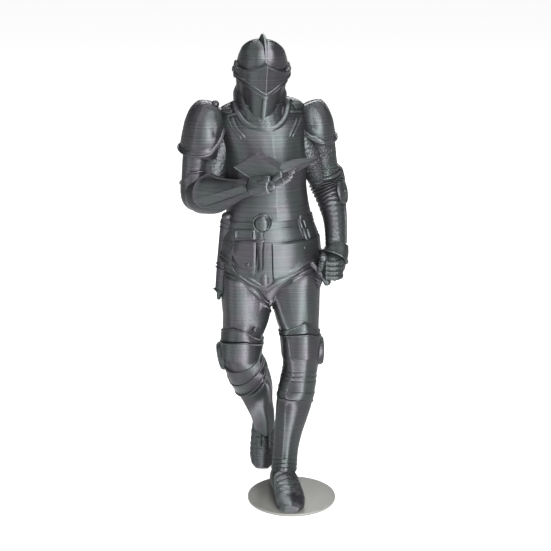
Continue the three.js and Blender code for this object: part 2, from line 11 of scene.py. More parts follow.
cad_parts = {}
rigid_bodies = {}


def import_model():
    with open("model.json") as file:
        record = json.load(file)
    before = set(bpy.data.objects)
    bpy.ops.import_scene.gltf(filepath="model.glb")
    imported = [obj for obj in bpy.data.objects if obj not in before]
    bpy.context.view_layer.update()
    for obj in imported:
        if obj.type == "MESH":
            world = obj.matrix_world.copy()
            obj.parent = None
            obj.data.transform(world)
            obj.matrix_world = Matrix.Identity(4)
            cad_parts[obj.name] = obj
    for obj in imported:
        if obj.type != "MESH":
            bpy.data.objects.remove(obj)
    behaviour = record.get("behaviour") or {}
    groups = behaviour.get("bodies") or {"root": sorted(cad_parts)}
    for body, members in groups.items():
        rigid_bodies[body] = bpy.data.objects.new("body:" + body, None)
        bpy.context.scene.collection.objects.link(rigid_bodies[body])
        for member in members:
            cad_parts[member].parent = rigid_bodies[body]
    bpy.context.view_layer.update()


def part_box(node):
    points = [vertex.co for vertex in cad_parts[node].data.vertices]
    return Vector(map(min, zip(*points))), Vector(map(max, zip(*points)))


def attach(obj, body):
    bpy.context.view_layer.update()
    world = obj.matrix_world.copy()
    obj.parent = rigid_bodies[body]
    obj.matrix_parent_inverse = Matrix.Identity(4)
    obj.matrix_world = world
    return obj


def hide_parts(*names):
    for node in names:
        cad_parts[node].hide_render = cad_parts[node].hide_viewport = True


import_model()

# The figure is drawn in design units, about a millimetre each, with its sole at height 0.
DESIGN_HEIGHT = 209.139
sole, crest = (corner.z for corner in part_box("knight_figure"))
UNIT = (crest - sole) / DESIGN_HEIGHT

BASE_RADIUS = 0.020
BASE_THICKNESS = 0.0012

BASE_BEVEL = 0.00015

# the print, in millimetres: the height of a layer, and the width of a stroke of the base's top layer
LAYER = 0.42
STROKE = 0.45

# degrees: faces flatter than this are merged, and edges sharper than this stay crisp in the shading
MERGED = 0.3
FIGURE_CRISP = 38
BASE_CRISP = 30
KEPT_SHARE = 0.58  # of the joined mesh's triangles

FRONT = np.array((0.0, -1.0, 0.0))
UP = np.array((0.0, 0.0, 1.0))


def facing(degrees):
    return np.array((sin(radians(degrees)), -cos(radians(degrees)), 0.0))


def unit(vector):
    vector = np.asarray(vector, float)
    return vector / np.linalg.norm(vector)


# Soft paths and the bodies round them


class Curve:
    """A soft curve through points. The share t runs from 0 to 1."""

    def __init__(self, points):
        p = np.asarray(points, float)
        self.points = np.vstack([2 * p[0] - p[1], p, 2 * p[-1] - p[-2]])
        gaps = np.linalg.norm(np.diff(self.points, axis=0), axis=1) ** 0.5
        self.gaps = np.maximum(gaps, 1e-3)

    def __call__(self, t):
        spans = len(self.points) - 3
        place = np.clip(np.ravel(t), 0, 1) * spans
        i = np.minimum(place.astype(int), spans - 1)
        w = (place - i)[:, None]
        p0, p1, p2, p3 = (self.points[i + k] for k in range(4))
        d0, d1, d2 = (self.gaps[i + k][:, None] for k in range(3))
        m1 = ((p1 - p0) / d0 - (p2 - p0) / (d0 + d1) + (p2 - p1) / d1) * d1
        m2 = ((p2 - p1) / d1 - (p3 - p1) / (d1 + d2) + (p3 - p2) / d2) * d1
        bend = 3 * (p2 - p1) - 2 * m1 - m2
        return p1 + w * m1 + w**2 * bend + w**3 * (m1 + m2 - 2 * (p2 - p1))


class Limb:
    """A soft body round a path. A station is (x, y, z, side, front, back): a point of the path and the
    half-widths of the section there. Angle 0 is in front."""

    def __init__(self, stations, front=FRONT):
        rows = [tuple(s) + (s[3],) * (6 - len(s)) if len(s) == 4 else tuple(s) for s in stations]
        rows = np.array([r + (r[4],) * (6 - len(r)) for r in rows], float)
        self.path = Curve(rows[:, :3])
        self.sizes = Curve(rows[:, 3:])
        self.front = Curve(front) if np.ndim(front) == 2 else None
        self.ahead = np.asarray(front, float)

    def __call__(self, t, angle, grow=0.0, reach=1.0):
        t, angle, grow, reach = (np.ravel(a) for a in np.broadcast_arrays(t, angle, grow, reach))
        t = np.clip(t, 0, 1)
        along = self.path(t + 1e-4) - self.path(t - 1e-4)
        along /= np.linalg.norm(along, axis=1)[:, None]
        ahead = self.front(t) if self.front else np.broadcast_to(self.ahead, along.shape)
        side = np.cross(ahead, along)
        side /= np.linalg.norm(side, axis=1)[:, None]
        ahead = np.cross(along, side)
        size = self.sizes(t)
        depth = np.where(np.cos(angle) > 0, size[:, 1], size[:, 2])
        across = (reach * np.sin(angle) * (size[:, 0] + grow))[:, None]
        out = (reach * np.cos(angle) * (depth + grow))[:, None]
        return self.path(t) + side * across + ahead * out

    def speed(self, t):
        t = np.clip(t, 1e-3, 1 - 1e-3)
        shape = np.shape(t)
        step = self.path(np.ravel(t) + 1e-3) - self.path(np.ravel(t) - 1e-3)
        return (np.linalg.norm(step, axis=1) / 2e-3).reshape(shape)

    def length(self):
        return float(np.sum(np.linalg.norm(np.diff(self.path(np.linspace(0, 1, 60)), axis=0), axis=1)))

    def outward(self, t, angle):
        return unit((self(t, angle, 1.0) - self(t, angle, 0.0))[0])


def value(thing, angle):
    return thing(angle) if callable(thing) else thing


def add(*things):
    return lambda angle: sum(value(thing, angle) for thing in things)


def moved(surface, share, distance):
    """The same share of a path, moved along it by a distance."""
    return lambda angle: value(share, angle) + distance / surface.speed(value(share, angle) + 0 * angle)


def even(start, end, steps, lift=0.0, last=None):
    """Rings at even steps, whose lift may change from the first to the last."""
    last = lift if last is None else last

    def between(a, b, i):
        return lambda angle: value(a, angle) + (value(b, angle) - value(a, angle)) * i / steps

    return [(between(start, end, i), between(lift, last, i)) for i in range(steps + 1)]


def roll_end(surface, share, above, below=0.0, radius=0.5, steps=5):
    """A plate's rolled rim where the plate ends and a lower surface goes on."""
    rings = []
    for i in range(steps + 1):
        turn = pi * i / steps
        rings.append((moved(surface, share, -radius * (1 + cos(turn))), add(above, radius * sin(turn))))
    return [*rings, (share, below)]


def roll_start(surface, share, above, below=0.0, radius=0.5, steps=5):
    rings = [(share, below)]
    for i in range(steps + 1):
        turn = pi * i / steps
        rings.append((moved(surface, share, radius * (1 - cos(turn))), add(above, radius * sin(turn))))
    return rings


def keel(height, spread, middle=0.0, soft=2.5):
    """A ridge over the front, of two flats that meet softly at the middle, in degrees."""

    def rise(angle):
        away = np.hypot(np.degrees(angle) - middle, soft) - soft
        return height * np.maximum(0, 1 - away / spread)

    return rise


def crest_line(height, width, middle=0.0):
    return lambda angle: height * np.exp(-(((np.degrees(angle) - middle) / width) ** 2))


def ramp(x, start, end):
    s = np.clip((x - start) / (end - start), 0, 1)
    return s * s * (3 - 2 * s)


def by_angle(degrees, values):
    """A value that changes evenly between the given angles."""
    return lambda angle: np.interp(np.degrees(angle), degrees, values)


def spread(count, *marks, gap=0.9):
    """Angles round a body: even, with three close ones at each marked angle, in degrees."""
    angles = np.linspace(-180, 180, count, endpoint=False)
    angles = [a for a in angles if all(abs(a - m) > 2 * gap for m in marks)]
    for mark in marks:
        angles += [mark - gap, mark, mark + gap]
    return np.radians(sorted(angles))


# Parts of the figure, each closed, which are joined into one mesh at the end

parts = bpy.data.collections.new("parts")


def show(thing):
    bpy.context.scene.collection.objects.link(thing)


def made_mesh(name, bm):
    mesh = bpy.data.meshes.new(name)
    bm.to_mesh(mesh)
    bm.free()
    return mesh


def keep(bm):
    bmesh.ops.recalc_face_normals(bm, faces=bm.faces)
    parts.objects.link(bpy.data.objects.new("part", made_mesh("part", bm)))


def place(bm, function):
    """Moves every vertex by a function of all the old places."""
    old = np.array([v.co for v in bm.verts])
    for v, co in zip(bm.verts, function(old)):
        v.co = co


def tube(surface, rings, columns=48, relief=None):
    """A closed body on a limb, drawn as rings of (share, lift, reach) from its start to its end."""
    angles = np.linspace(-pi, pi, columns, endpoint=False) if isinstance(columns, int) else columns
    sides, last = len(angles), len(rings) - 1
    bm = bmesh.new()
    bmesh.ops.create_cone(bm, cap_ends=True, cap_tris=True, segments=sides, radius1=1, radius2=1, depth=1)
    rails = [e for e in bm.edges if abs(e.verts[0].co.z - e.verts[1].co.z) > 0.5]
    bmesh.ops.subdivide_edges(bm, edges=rails, cuts=last - 1, use_grid_fill=True)
    full = [tuple(ring) + (1.0,) * (3 - len(ring)) for ring in rings]
    share, lift, reach = (
        np.array([np.broadcast_to(value(ring[k], angles), sides) for ring in full], float) for k in range(3)
    )
    if relief:
        lift = lift + relief(share, np.broadcast_to(angles, share.shape))

    def wrap(old):
        row = np.rint((0.5 - old[:, 2]) * last).astype(int)
        column = np.rint(np.arctan2(old[:, 0], old[:, 1]) / (2 * pi) * sides).astype(int) % sides
        rim = np.hypot(old[:, 0], old[:, 1]) > 0.5
        at = (row, column)
        return surface(share[at], angles[column], lift[at], np.where(rim, reach[at], 0))

    place(bm, wrap)
    keep(bm)


def span(angles, shares):
    """The places of a plain plate: between two angles, in degrees, and two shares of a path."""
    return lambda u, v: (np.interp(u, (-1, 1), angles), np.interp(v, (-1, 1), shares))


def plate(surface, where, lift, thick, across=12, down=12, crown=None, rim=0.0, soft=0.3):
    """A plate with soft edges that lies on a limb. Its own places u and v run from -1 to 1."""
    bm = bmesh.new()
    bmesh.ops.create_grid(bm, x_segments=across, y_segments=down, size=1)
    bmesh.ops.solidify(bm, geom=bm.faces[:], thickness=1)

    def lay(old):
        u, v = old[:, 0], -old[:, 1]
        edge = np.maximum(np.abs(u), np.abs(v))
        height = lift + (crown(u, v) if crown else 0.0) + rim * (edge > 0.8) - soft * (edge > 0.999)
        angle, share = where(u, v)
        top = old[:, 2] > old[:, 2].mean()
        return surface(share, np.radians(angle), np.where(top, height, lift - thick))

    place(bm, lay)
    keep(bm)


def domed(length, radius, steps, bow=4):
    """Rings of a bar with round ends: (share, lift, reach)."""
    turn = [pi / 2 * (i + 0.35) / bow for i in range(bow)]
    nose = [(min(radius, length / 2) * (1 - cos(a)) / length, 0.0, sin(a)) for a in turn]
    first = min(radius, length / 2) / length
    middle = [(first + (1 - 2 * first) * i / steps, 0.0, 1.0) for i in range(steps + 1)]
    return [*nose, *middle, *[(1 - s, 0.0, r) for s, _, r in reversed(nose)]]


def boxy(power):
    """The reach of a section with flat sides and round corners."""
    return lambda angle: (np.abs(np.cos(angle)) ** power + np.abs(np.sin(angle)) ** power) ** (-1 / power)


def bar(points, sizes, front=UP, sides=14, steps=10, power=2.0, nose=1.0):
    """A bar with round ends on a soft path; sizes are its half-widths, one pair or one at each point."""
    pairs = [sizes] * len(points) if np.ndim(sizes) == 1 else sizes
    limb = Limb([(*p, s[0], s[1]) for p, s in zip(points, pairs)], front)
    rings = domed(limb.length(), nose * min(pairs[0]), steps)
    if power != 2.0:
        shape = boxy(power)
        rings = [(s, lift, (lambda angle, r=r: r * shape(angle))) for s, lift, r in rings]
    tube(limb, rings, sides)
    return limb


def ribbon(surface, places, width, height, lift=0.0, sides=10, power=2.0, pitch=1.1):
    """A band or bead that follows places (share, degrees) over a limb."""
    track = Curve([(*p,) for p in places])
    rough = track(np.linspace(0, 1, 40))
    spots = surface(rough[:, 0], np.radians(rough[:, 1]), lift)
    length = float(np.sum(np.linalg.norm(np.diff(spots, axis=0), axis=1)))
    count = max(4, int(length / pitch))
    t = track(np.linspace(0, 1, count))
    spots = surface(t[:, 0], np.radians(t[:, 1]), lift)
    outward = surface(t[:, 0], np.radians(t[:, 1]), lift + 1.0) - spots
    bar(spots, (width / 2, height), outward, sides, steps=count - 1, power=power)


def ball(centre, radii, segments=20):
    bm = bmesh.new()
    bmesh.ops.create_uvsphere(bm, u_segments=segments, v_segments=max(6, segments // 2), radius=1)
    bmesh.ops.scale(bm, verts=bm.verts, vec=radii)
    bmesh.ops.translate(bm, verts=bm.verts, vec=centre)
    keep(bm)


def turned(centre, axis, profile, sides=32, squash=1.0):
    """A turned form. Its profile, as (radius, height), runs from the top's middle to the underside's."""
    bm = bmesh.new()
    dots = [bm.verts.new((r, 0, h)) for r, h in profile]
    lines = [bm.edges.new(pair) for pair in zip(dots, dots[1:])]
    bmesh.ops.spin(
        bm, geom=dots + lines, cent=(0, 0, 0), axis=(0, 0, 1), angle=2 * pi, steps=sides, use_merge=True
    )
    bmesh.ops.remove_doubles(bm, verts=bm.verts, dist=1e-4)
    bmesh.ops.scale(bm, verts=bm.verts, vec=(squash, 1, 1))
    bmesh.ops.rotate(bm, verts=bm.verts, matrix=Vector(axis).to_track_quat("Z", "Y").to_matrix())
    bmesh.ops.translate(bm, verts=bm.verts, vec=centre)
    keep(bm)


def stud(surface, share, degrees, radius=0.8, height=0.6, lift=0.0):
    """A rivet's head."""
    angle = radians(degrees)
    spot = surface(share, angle, lift)[0]
    profile = [(0, height), (radius * 0.6, height * 0.82), (radius, height * 0.25), (radius, -0.8), (0, -0.8)]
    turned(spot, surface.outward(share, angle), profile, 12)


def slab(corner, first, second, thickness, cuts=1, soft=0.25, shape=None):
    """A board from a corner, two edges and a thickness, with soft edges."""
    bm = bmesh.new()
    bmesh.ops.create_cube(bm, size=1)
    bmesh.ops.translate(bm, verts=bm.verts, vec=(0.5, 0.5, 0.5))
    if cuts > 1:
        bmesh.ops.subdivide_edges(bm, edges=bm.edges, cuts=cuts, use_grid_fill=True)
    corner, first, second, thickness = (np.asarray(v, float) for v in (corner, first, second, thickness))
    place(bm, lambda old: corner + old @ np.array([first, second, thickness]) + (shape(old) if shape else 0))
    if soft and cuts == 1:
        bmesh.ops.bevel(
            bm, geom=bm.edges[:], offset=soft, affect="EDGES", segments=3, profile=0.5, material=-1
        )
    keep(bm)


# Torso, with the breastplate, the belt and the skirt of plates

TORSO_YAW = 9
torso = Limb(
    [
        (-13.6, 6.4, 180.8, 13, 7.6, 8.2),
        (-13.5, 6.6, 178.8, 17.6, 9.0, 9.6),
        (-13.3, 6.8, 173.6, 19.8, 11, 11.4),
        (-12.9, 7.0, 168, 19.4, 13.2, 12.6),
        (-12.3, 6.8, 161, 18.0, 15.4, 13.8),
        (-11.8, 6.6, 153, 17.9, 16.8, 14),
        (-11.4, 6.4, 144, 17.5, 16.2, 13),
        (-10.9, 6.2, 136, 18.0, 14.6, 12.4),
        (-10.5, 6.0, 128, 19.4, 14.0, 12.8),
        (-10.0, 5.8, 119, 21.0, 14.4, 14.2),
        (-9.8, 5.8, 110, 21.4, 14.4, 15.2),
        (-9.6, 5.8, 103, 18.0, 13.4, 14.8),
        (-9.6, 5.8, 98, 11.0, 9.4, 12.6),
        (-9.6, 5.8, 93.5, 4.6, 5.0, 9.6),
    ],
    facing(TORSO_YAW),
)
BELT = 0.608
FAULD = 0.672
BREAST_RIDGE = 5.5
SKIRT_SPLIT = -3.0  # where the skirt's left plate laps over the right one, in degrees


hem = by_angle((-95, -54, -30, -12, 0, 18, 34, 95), (0.735, 0.77, 0.86, 0.93, 0.872, 0.825, 0.79, 0.76))


def make_torso():
    chest = add(keel(0.2, 26, BREAST_RIDGE), crest_line(0.2, 2.4, BREAST_RIDGE))
    waist = add(keel(0.12, 26, BREAST_RIDGE), crest_line(0.12, 2.4, BREAST_RIDGE))

    # the breast is flat and broad, the belly leans a little to the figure's left
    lean = add(crest_line(1.1, 24, 33), crest_line(-0.4, 22, -22))
    chest = add(chest, crest_line(0.9, 24, -30), crest_line(0.9, 24, 36))
    waist = add(waist, lean)

    def skirt(angle):
        return 0.8 + 0.7 * ramp(np.degrees(angle), SKIRT_SPLIT - 0.5, SKIRT_SPLIT + 0.5) + 0.5 * lean(angle)

    upper_hem = moved(torso, hem, -2.6)
    rings = [
        *even(0, 0.16, 9),
        *even(0.19, BELT - 0.026, 42, chest, waist),
        *roll_start(torso, BELT - 0.016, 0.45, waist, 0.22),
        *even(BELT - 0.006, BELT + 0.006, 1, 0.5),
        *roll_end(torso, BELT + 0.015, 0.45, 0.25, 0.22),
        *even(BELT + 0.022, FAULD - 0.014, 5, 0.4, 0.9),
        *roll_end(torso, FAULD, 0.9, 0.65, 0.3),
        *even(FAULD + 0.008, moved(torso, upper_hem, -1.2), 24, skirt),
        *roll_end(torso, upper_hem, add(skirt, 0.1), 0.6, 0.5),
        *roll_end(torso, hem, 0.9, 0.0, 0.55),
        *even(moved(torso, hem, 0.6), 1, 8, 0),
    ]
    tube(torso, rings, spread(92, BREAST_RIDGE, SKIRT_SPLIT, gap=0.7))
    ball((-9.8, 6.2, 93.6), (4.4, 5.4, 4.4))


def make_belt():
    angle = radians(-14)
    middle = torso(BELT - 0.012, angle, 1.1)[0]
    boss = [(0, 2.0), (1.4, 1.9), (2.4, 1.6), (3.0, 1.05), (3.15, 0.2), (3.5, 0.1), (3.6, 0.8), (3.8, 0.9),
            (4.0, 0.7), (4.1, -1.6), (0, -1.6)]
    turned(middle, torso.outward(BELT, angle), boss, 40)
    # the strap end that hangs from the buckle, with two raised edges, and its keeper
    tail = [(BELT + 0.02, -15.5), (FAULD - 0.007, -16), (0.711, -16), (0.74, -15.5), (0.775, -17.5)]
    ribbon(torso, tail, 2.4, 0.8, 1.4, power=4, sides=16)
    for side, shift in ((-1, (4, 4, 2.4, 1.8, 1.2)), (1, (4, 4, 2.4, 1.8, 1.2))):
        line = [(s, a + side * w) for (s, a), w in zip(tail[1:], shift[1:])]
        ribbon(torso, line, 0.8, 0.8, 1.7, sides=8)
    ribbon(torso, [(FAULD - 0.013, -22), (FAULD - 0.011, -16), (FAULD - 0.013, -10.5)], 1.2, 0.8, 1.9)
    # the pouch, its flap with a button, and the loop that it hangs from
    plate(torso, span((-50, -22), (BELT + 0.011, FAULD - 0.016)), 1.2, 2.6, 14, 10, rim=0.6)

    def bag(u, v):
        return -38.5 + u * 17.5 * (1 - 0.12 * ramp(v, 0.2, 1)), np.interp(v, (-1, 1), (FAULD - 0.01, 0.80))

    def flap(u, v):
        low = 0.772 - 0.05 * np.abs(u - 0.4) ** 1.3
        return -38.5 + u * 17.8, FAULD - 0.012 + (low - FAULD + 0.012) * (v + 1) / 2

    plate(torso, bag, 1.2, 3.0, 16, 14, crown=lambda u, v: (1.1 + 1.4 * u - 0.4 * u**2) * (1 - 0.4 * v**4))
    bulge = lambda u, v: 0.7 + 1.4 * u + 0.5 * v - 0.4 * u**2
    plate(torso, flap, 1.8, 2.4, 20, 14, crown=bulge, rim=0.2, soft=0.4)
    stud(torso, 0.745, -29, 1.2, 1.3, 2.9)
    # side strap with two buckles, and the rivet under it
    ribbon(torso, [(BELT - 0.018, 37), (BELT + 0.02, 38), (FAULD, 42)], 3.0, 0.7, 0.7, power=4, sides=14)
    for low, high, shift in ((BELT - 0.01, BELT + 0.026, 0), (BELT + 0.03, FAULD + 0.004, 3.5)):
        a, b = 34 + shift, 40 + shift
        frame_line = [(low, a), (low, b), (high, b + 2.5), (high, a + 2.5), (low, a)]
        for first, second in zip(frame_line, frame_line[1:]):
            ribbon(torso, [first, second], 0.9, 0.8, 1.4, sides=8)
    stud(torso, FAULD + 0.028, 36.5, 1.1, 0.9, 1.3)
    ribbon(torso, [(BELT - 0.03, 38.5), (BELT - 0.02, 37), (BELT - 0.012, 36)], 0.9, 0.8, 1.0)
    ball((-12.2, -6.0, 106.2), (3.4, 3.6, 5.0))


def make_dagger():
    hilt, tip = np.array((-28.4, -1.0, 131.0)), np.array((-32.8, 4.0, 91.5))
    along = unit(tip - hilt)

    def at(distance):
        return hilt + along * distance

    broad = facing(-35)
    bar([at(0), at(20), at(36)], [(2.9, 1.4), (2.7, 1.3), (2.1, 1.1)], broad, 16, 12, power=3)
    bar([at(33), at(37), at(39)], [(1.3, 1.2), (1.1, 1.0), (0.7, 0.7)], broad, 12, 6)
    for distance in (2, 4.2, 21.5, 23.2, 33.8):
        bar([at(distance), at(distance + 0.9)], (3.2, 1.7), broad, 14, 2, power=3)
    ball(at(22.3), (1.3, 1.7, 1.3), segments=14)
    ball(at(-0.6), (2.4, 2.4, 2.0))


# Legs: the left one stands, the right one trails on its toes

left_thigh = Limb(
    [
        (1.0, 6.5, 112, 10.4, 10.6, 11),
        (1.4, 6.2, 103, 11.0, 10.8, 11.2),
        (1.8, 5.9, 94, 10.4, 10.4, 10.6),
        (2.5, 5.6, 85, 9.7, 9.6, 9.4),
        (3.5, 5.2, 77, 8.5, 8.8, 8.4),
        (3.9, 5.0, 67, 7.9, 8.2, 7.8),
    ],
    facing(6),
)
left_shin = Limb(
    [
        (3.9, 5.0, 68, 7.6, 8.4, 7.4),
        (3.6, 5.3, 60, 7.5, 8.0, 7.8),
        (2.6, 5.9, 52, 8.0, 7.6, 9.2),
        (1.2, 6.3, 44, 8.1, 7.4, 9.6),
        (-0.2, 6.9, 36, 7.3, 7.0, 8.6),
        (-1.6, 7.6, 28, 6.4, 6.2, 7.0),
        (-2.8, 8.4, 18, 5.8, 5.6, 5.8),
        (-3.4, 9.0, 9, 5.9, 5.8, 6.2),
    ],
    facing(4),
)
right_thigh = Limb(
    [
        (-20.2, 6.5, 112, 10.4, 10.6, 11),
        (-20.4, 6.2, 103, 10.9, 10.8, 11.2),
        (-20.6, 6.0, 94, 10.8, 10.4, 10.8),
        (-20.6, 5.8, 86, 10.4, 9.8, 9.8),
        (-22.0, 5.4, 77, 9.2, 9.0, 8.8),
        (-22.8, 5.2, 66, 8.2, 8.4, 8.0),
    ],
    facing(-8),
)
right_shin = Limb(
    [
        (-22.8, 5.0, 66.5, 7.8, 8.4, 7.6),
        (-21.2, 8.2, 60.6, 8.6, 8.0, 8.2),
        (-18.8, 13.0, 53.0, 9.0, 7.6, 9.6),
        (-17.0, 17.4, 46.2, 8.4, 7.4, 9.4),
        (-15.2, 23.4, 36.8, 6.6, 6.6, 7.8),
        (-13.4, 29.2, 27.8, 5.6, 5.8, 6.2),
        (-12.8, 33.6, 20.6, 5.0, 5.4, 5.6),
    ],
    facing(-4),
)
LEG_COLUMNS = 60
KNEE_RIDGE = 10  # where the keels of the left knee and the left greave run, in degrees
GREAVE_RIDGE = -14
ANKLE_RIDGE = 0


left_groin = by_angle((-95, -59, -52, 15, 95), (0.45, 0.30, 0.245, 0.095, 0.02))
right_groin = by_angle((-95, -24, 0, 31, 59, 95), (0.03, 0.094, 0.132, 0.261, 0.403, 0.5))
left_lame = by_angle((-90, -50, 13, 55, 90), (0.74, 0.72, 0.64, 0.775, 0.79))
left_knee = by_angle((-90, -19, 16, 40, 90), (0.79, 0.762, 0.766, 0.804, 0.83))
right_lame = by_angle((-90, -50, -20, 12, 52, 90), (0.80, 0.774, 0.731, 0.737, 0.808, 0.83))
right_knee = by_angle((-90, -40, 15, 55, 90), (0.88, 0.86, 0.83, 0.856, 0.88))


def thigh_rings(thigh, groin, lame, knee, cap, lean=0.0):
    """From the hip to the knee: rolled upper rims, the long plate, one pointed lame and the knee's cap."""
    return [
        *even(0, moved(thigh, groin, -0.6), 4),
        *roll_start(thigh, groin, 0.5, 0.0, 0.6),
        *roll_start(thigh, moved(thigh, groin, 2.4), 0.5, 0.35, 0.5),
        *even(moved(thigh, groin, 4.4), moved(thigh, lame, -1.0), 14, add(lean, 0.4), lean),
        *roll_start(thigh, lame, 0.5, 0.0, 0.35),
        *even(moved(thigh, lame, 1.1), moved(thigh, knee, -0.3), 4, 0.7, 0.9),
        *roll_start(thigh, knee, add(cap, -0.1), 0.3, 0.35),
        *even(moved(thigh, knee, 1.2), 1, 12, cap),
    ]


def front_fold(height):
    return lambda angle: height * np.maximum(0, np.cos(angle)) ** 3


def make_leg(thigh, shin, out, edges, cap, lean, folds, fold_lift, step, greave, ankle):
    """out is 1 for the left leg; folds are the edges of the lames under the knee, each a step high."""
    tube(thigh, thigh_rings(thigh, *edges, cap, lean), spread(LEG_COLUMNS, KNEE_RIDGE))
    rings = [*even(0, folds[0], 6, cap, add(cap, -0.6))]
    for start, end in zip(folds, folds[1:]):
        below = add(fold_lift, -step)
        rings += roll_start(shin, moved(shin, start, 0.2), fold_lift, below, 0.6 * step + 0.05)
        rings += even(moved(shin, start, 1.1), moved(shin, end, -0.3), 3, fold_lift, add(fold_lift, -0.2))
    last, below = moved(shin, folds[-1], 0.2), add(fold_lift, -2.5 * step)
    rings += roll_start(shin, last, add(greave, 0.25), below, 0.3)
    rings += even(moved(shin, folds[-1], 1.6), 0.83, 26, greave, ankle)
    # the left ankle has lames in front, pointed in the middle
    for start in (0.86, 0.895, 0.93) if out > 0 else ():
        peak = by_angle((-80, 0, 80), (start + 0.06, start, start + 0.06))
        rings += roll_start(shin, peak, add(ankle, front_fold(0.3)), add(ankle, front_fold(0.05)), 0.2, 3)
    rings += [(1.0, ankle)]
    tube(shin, rings, spread(LEG_COLUMNS, KNEE_RIDGE))
    ball(shin(0, 0, 0, 0)[0], (8.6, 10.2, 10.2), segments=32)
    # the wing at the side of the knee: a tall plate with a rim and a stud
    side = radians(out * 92)
    outward = shin.outward(0.02, side)
    heart = shin(0.02, side, 0.0)[0] + np.array((0, 0, 1.6))
    wing = [(0, 1.5), (2.9, 1.8), (4.8, 1.9), (5.4, 2.5), (6.1, 2.5), (6.6, 1.7), (6.9, -1.5), (0, -1.5)]
    turned(heart, outward, wing, 40, squash=0.8)
    turned(heart + outward * 1.6, outward, [(0, 1.0), (0.8, 0.8), (1.2, 0.1), (1.2, -1), (0, -1)], 14)


def make_legs():
    cap = add(0.8, keel(1.5, 80, KNEE_RIDGE, 4))
    drop = by_angle((-60, KNEE_RIDGE, 80), (0.042, 0, 0.042))
    folds = [add(share, drop) for share in (0.104, 0.144, 0.184, 0.283, 0.351)]
    lift = add(0.4, keel(0.9, 60, KNEE_RIDGE, 4))
    edges = left_groin, left_lame, left_knee
    greave, ankle = keel(1.2, 36, GREAVE_RIDGE, 4), keel(1.0, 36, ANKLE_RIDGE, 4)
    make_leg(left_thigh, left_shin, 1, edges, cap, keel(0.5, 30, 22, 4), folds, lift, 0.12, greave, ankle)

    def slanted(middle, slope):
        return lambda angle: middle - slope * np.sin(angle)

    cap = add(0.9, lambda angle: 1.3 * np.maximum(0, np.cos(angle)) ** 1.5)
    folds = [slanted(0.156, 0.071), slanted(0.204, 0.080), slanted(0.327, 0.134), slanted(0.375, 0.13)]
    lift = add(0.7, lambda angle: 0.3 * np.cos(angle))
    edges = right_groin, right_lame, right_knee
    lean = add(crest_line(1.3, 24, -24), crest_line(-0.6, 24, 34))
    greave = add(keel(0.5, 40, 0, 5), crest_line(0.9, 24, 22), crest_line(-0.6, 24, -26))
    cap = add(cap, crest_line(0.8, 26, -30))
    make_leg(right_thigh, right_shin, -1, edges, cap, lean, folds, lift, 0.3, greave, greave)
    for share, degrees in ((0.705, 35), (0.878, 46)):
        stud(right_thigh, share, degrees, 0.9, 0.8, 0.6)


# Feet run from heel to toe as limbs of their own; a station's sizes are half-width, height above, depth below


def make_foot(foot, ridge):
    def chevron(share):
        return lambda angle: share - 0.035 * np.cos(angle)

    def over(lift):
        return lambda angle: lift * np.maximum(0, np.cos(angle)) ** 0.7

    top = add(crest_line(ridge, 14), crest_line(0.5, 26, -34))
    rings = [(0.0, 0, 0.5), (0.0, 0, 0.8), *even(0.01, 0.34, 8)]
    lames = (0.37, 0.44, 0.51, 0.58, 0.66, 0.75)
    for start, end in zip(lames, lames[1:]):
        rings += [(chevron(start), 0.0)]
        for gap, lift in ((0.006, 0.75), (0.018, 0.95)):
            rings += [(chevron(start + gap), add(over(lift), top))]
        high, low = add(over(0.7), top), add(over(0.25), top)
        rings += even(chevron(start + 0.028), chevron(end - 0.012), 2, high, low)
    rings += even(chevron(0.76), 1.0, 9, add(over(0.3), top))
    rings += [(1.0, 0.0, 0.7)]
    tube(foot, rings, spread(44, 0))


left_foot = Limb(
    [
        (-5.2, 15.2, 3.0, 3.2, 3.4, 3.6),
        (-4.8, 13.4, 3.2, 5.4, 7.0, 3.8),
        (-3.8, 9.0, 3.4, 6.2, 8.6, 4.0),
        (-2.7, 3.0, 3.4, 6.1, 6.6, 4.0),
        (-1.6, -3.5, 3.0, 6.4, 4.8, 3.6),
        (-0.8, -9.5, 2.6, 6.5, 3.6, 3.2),
        (-0.5, -14.4, 2.3, 6.2, 2.9, 2.9),
        (-0.5, -17.6, 2.1, 5.4, 2.2, 2.5),
        (-0.5, -19.3, 2.0, 3.2, 1.2, 1.9),
    ],
    UP,
)
TOE_PITCH = radians(50)
foot_back = np.array((0.03, cos(TOE_PITCH), sin(TOE_PITCH)))
foot_up = np.array((0.0, -sin(TOE_PITCH), cos(TOE_PITCH)))
TOE = np.array((-13.8, 29.4, 1.0))
right_foot = Limb(
    [
        (*(TOE + foot_back * back + foot_up * up), *sizes)
        for back, up, *sizes in (
            (27.4, 3.0, 3.0, 3.2, 3.4),
            (25.2, 3.2, 4.8, 6.4, 3.6),
            (20.0, 3.4, 5.6, 7.6, 3.8),
            (14.0, 3.3, 5.8, 6.0, 3.8),
            (8.5, 3.0, 6.0, 4.6, 3.4),
            (4.0, 2.7, 5.9, 3.8, 3.0),
            (0.6, 2.4, 5.0, 3.0, 2.6),
            (-1.6, 2.2, 3.0, 1.8, 1.8),
        )
    ],
    foot_up,
)


def make_feet():
    make_foot(left_foot, 0.5)
    make_foot(right_foot, 0.1)
    for side in (-7, 27):
        ribs = [(0.2, side), (0.34, side), (0.48, side + 1), (0.6, side + 2)]
        ribbon(right_foot, ribs, 1.1, 0.9, 0.5)


# Arms

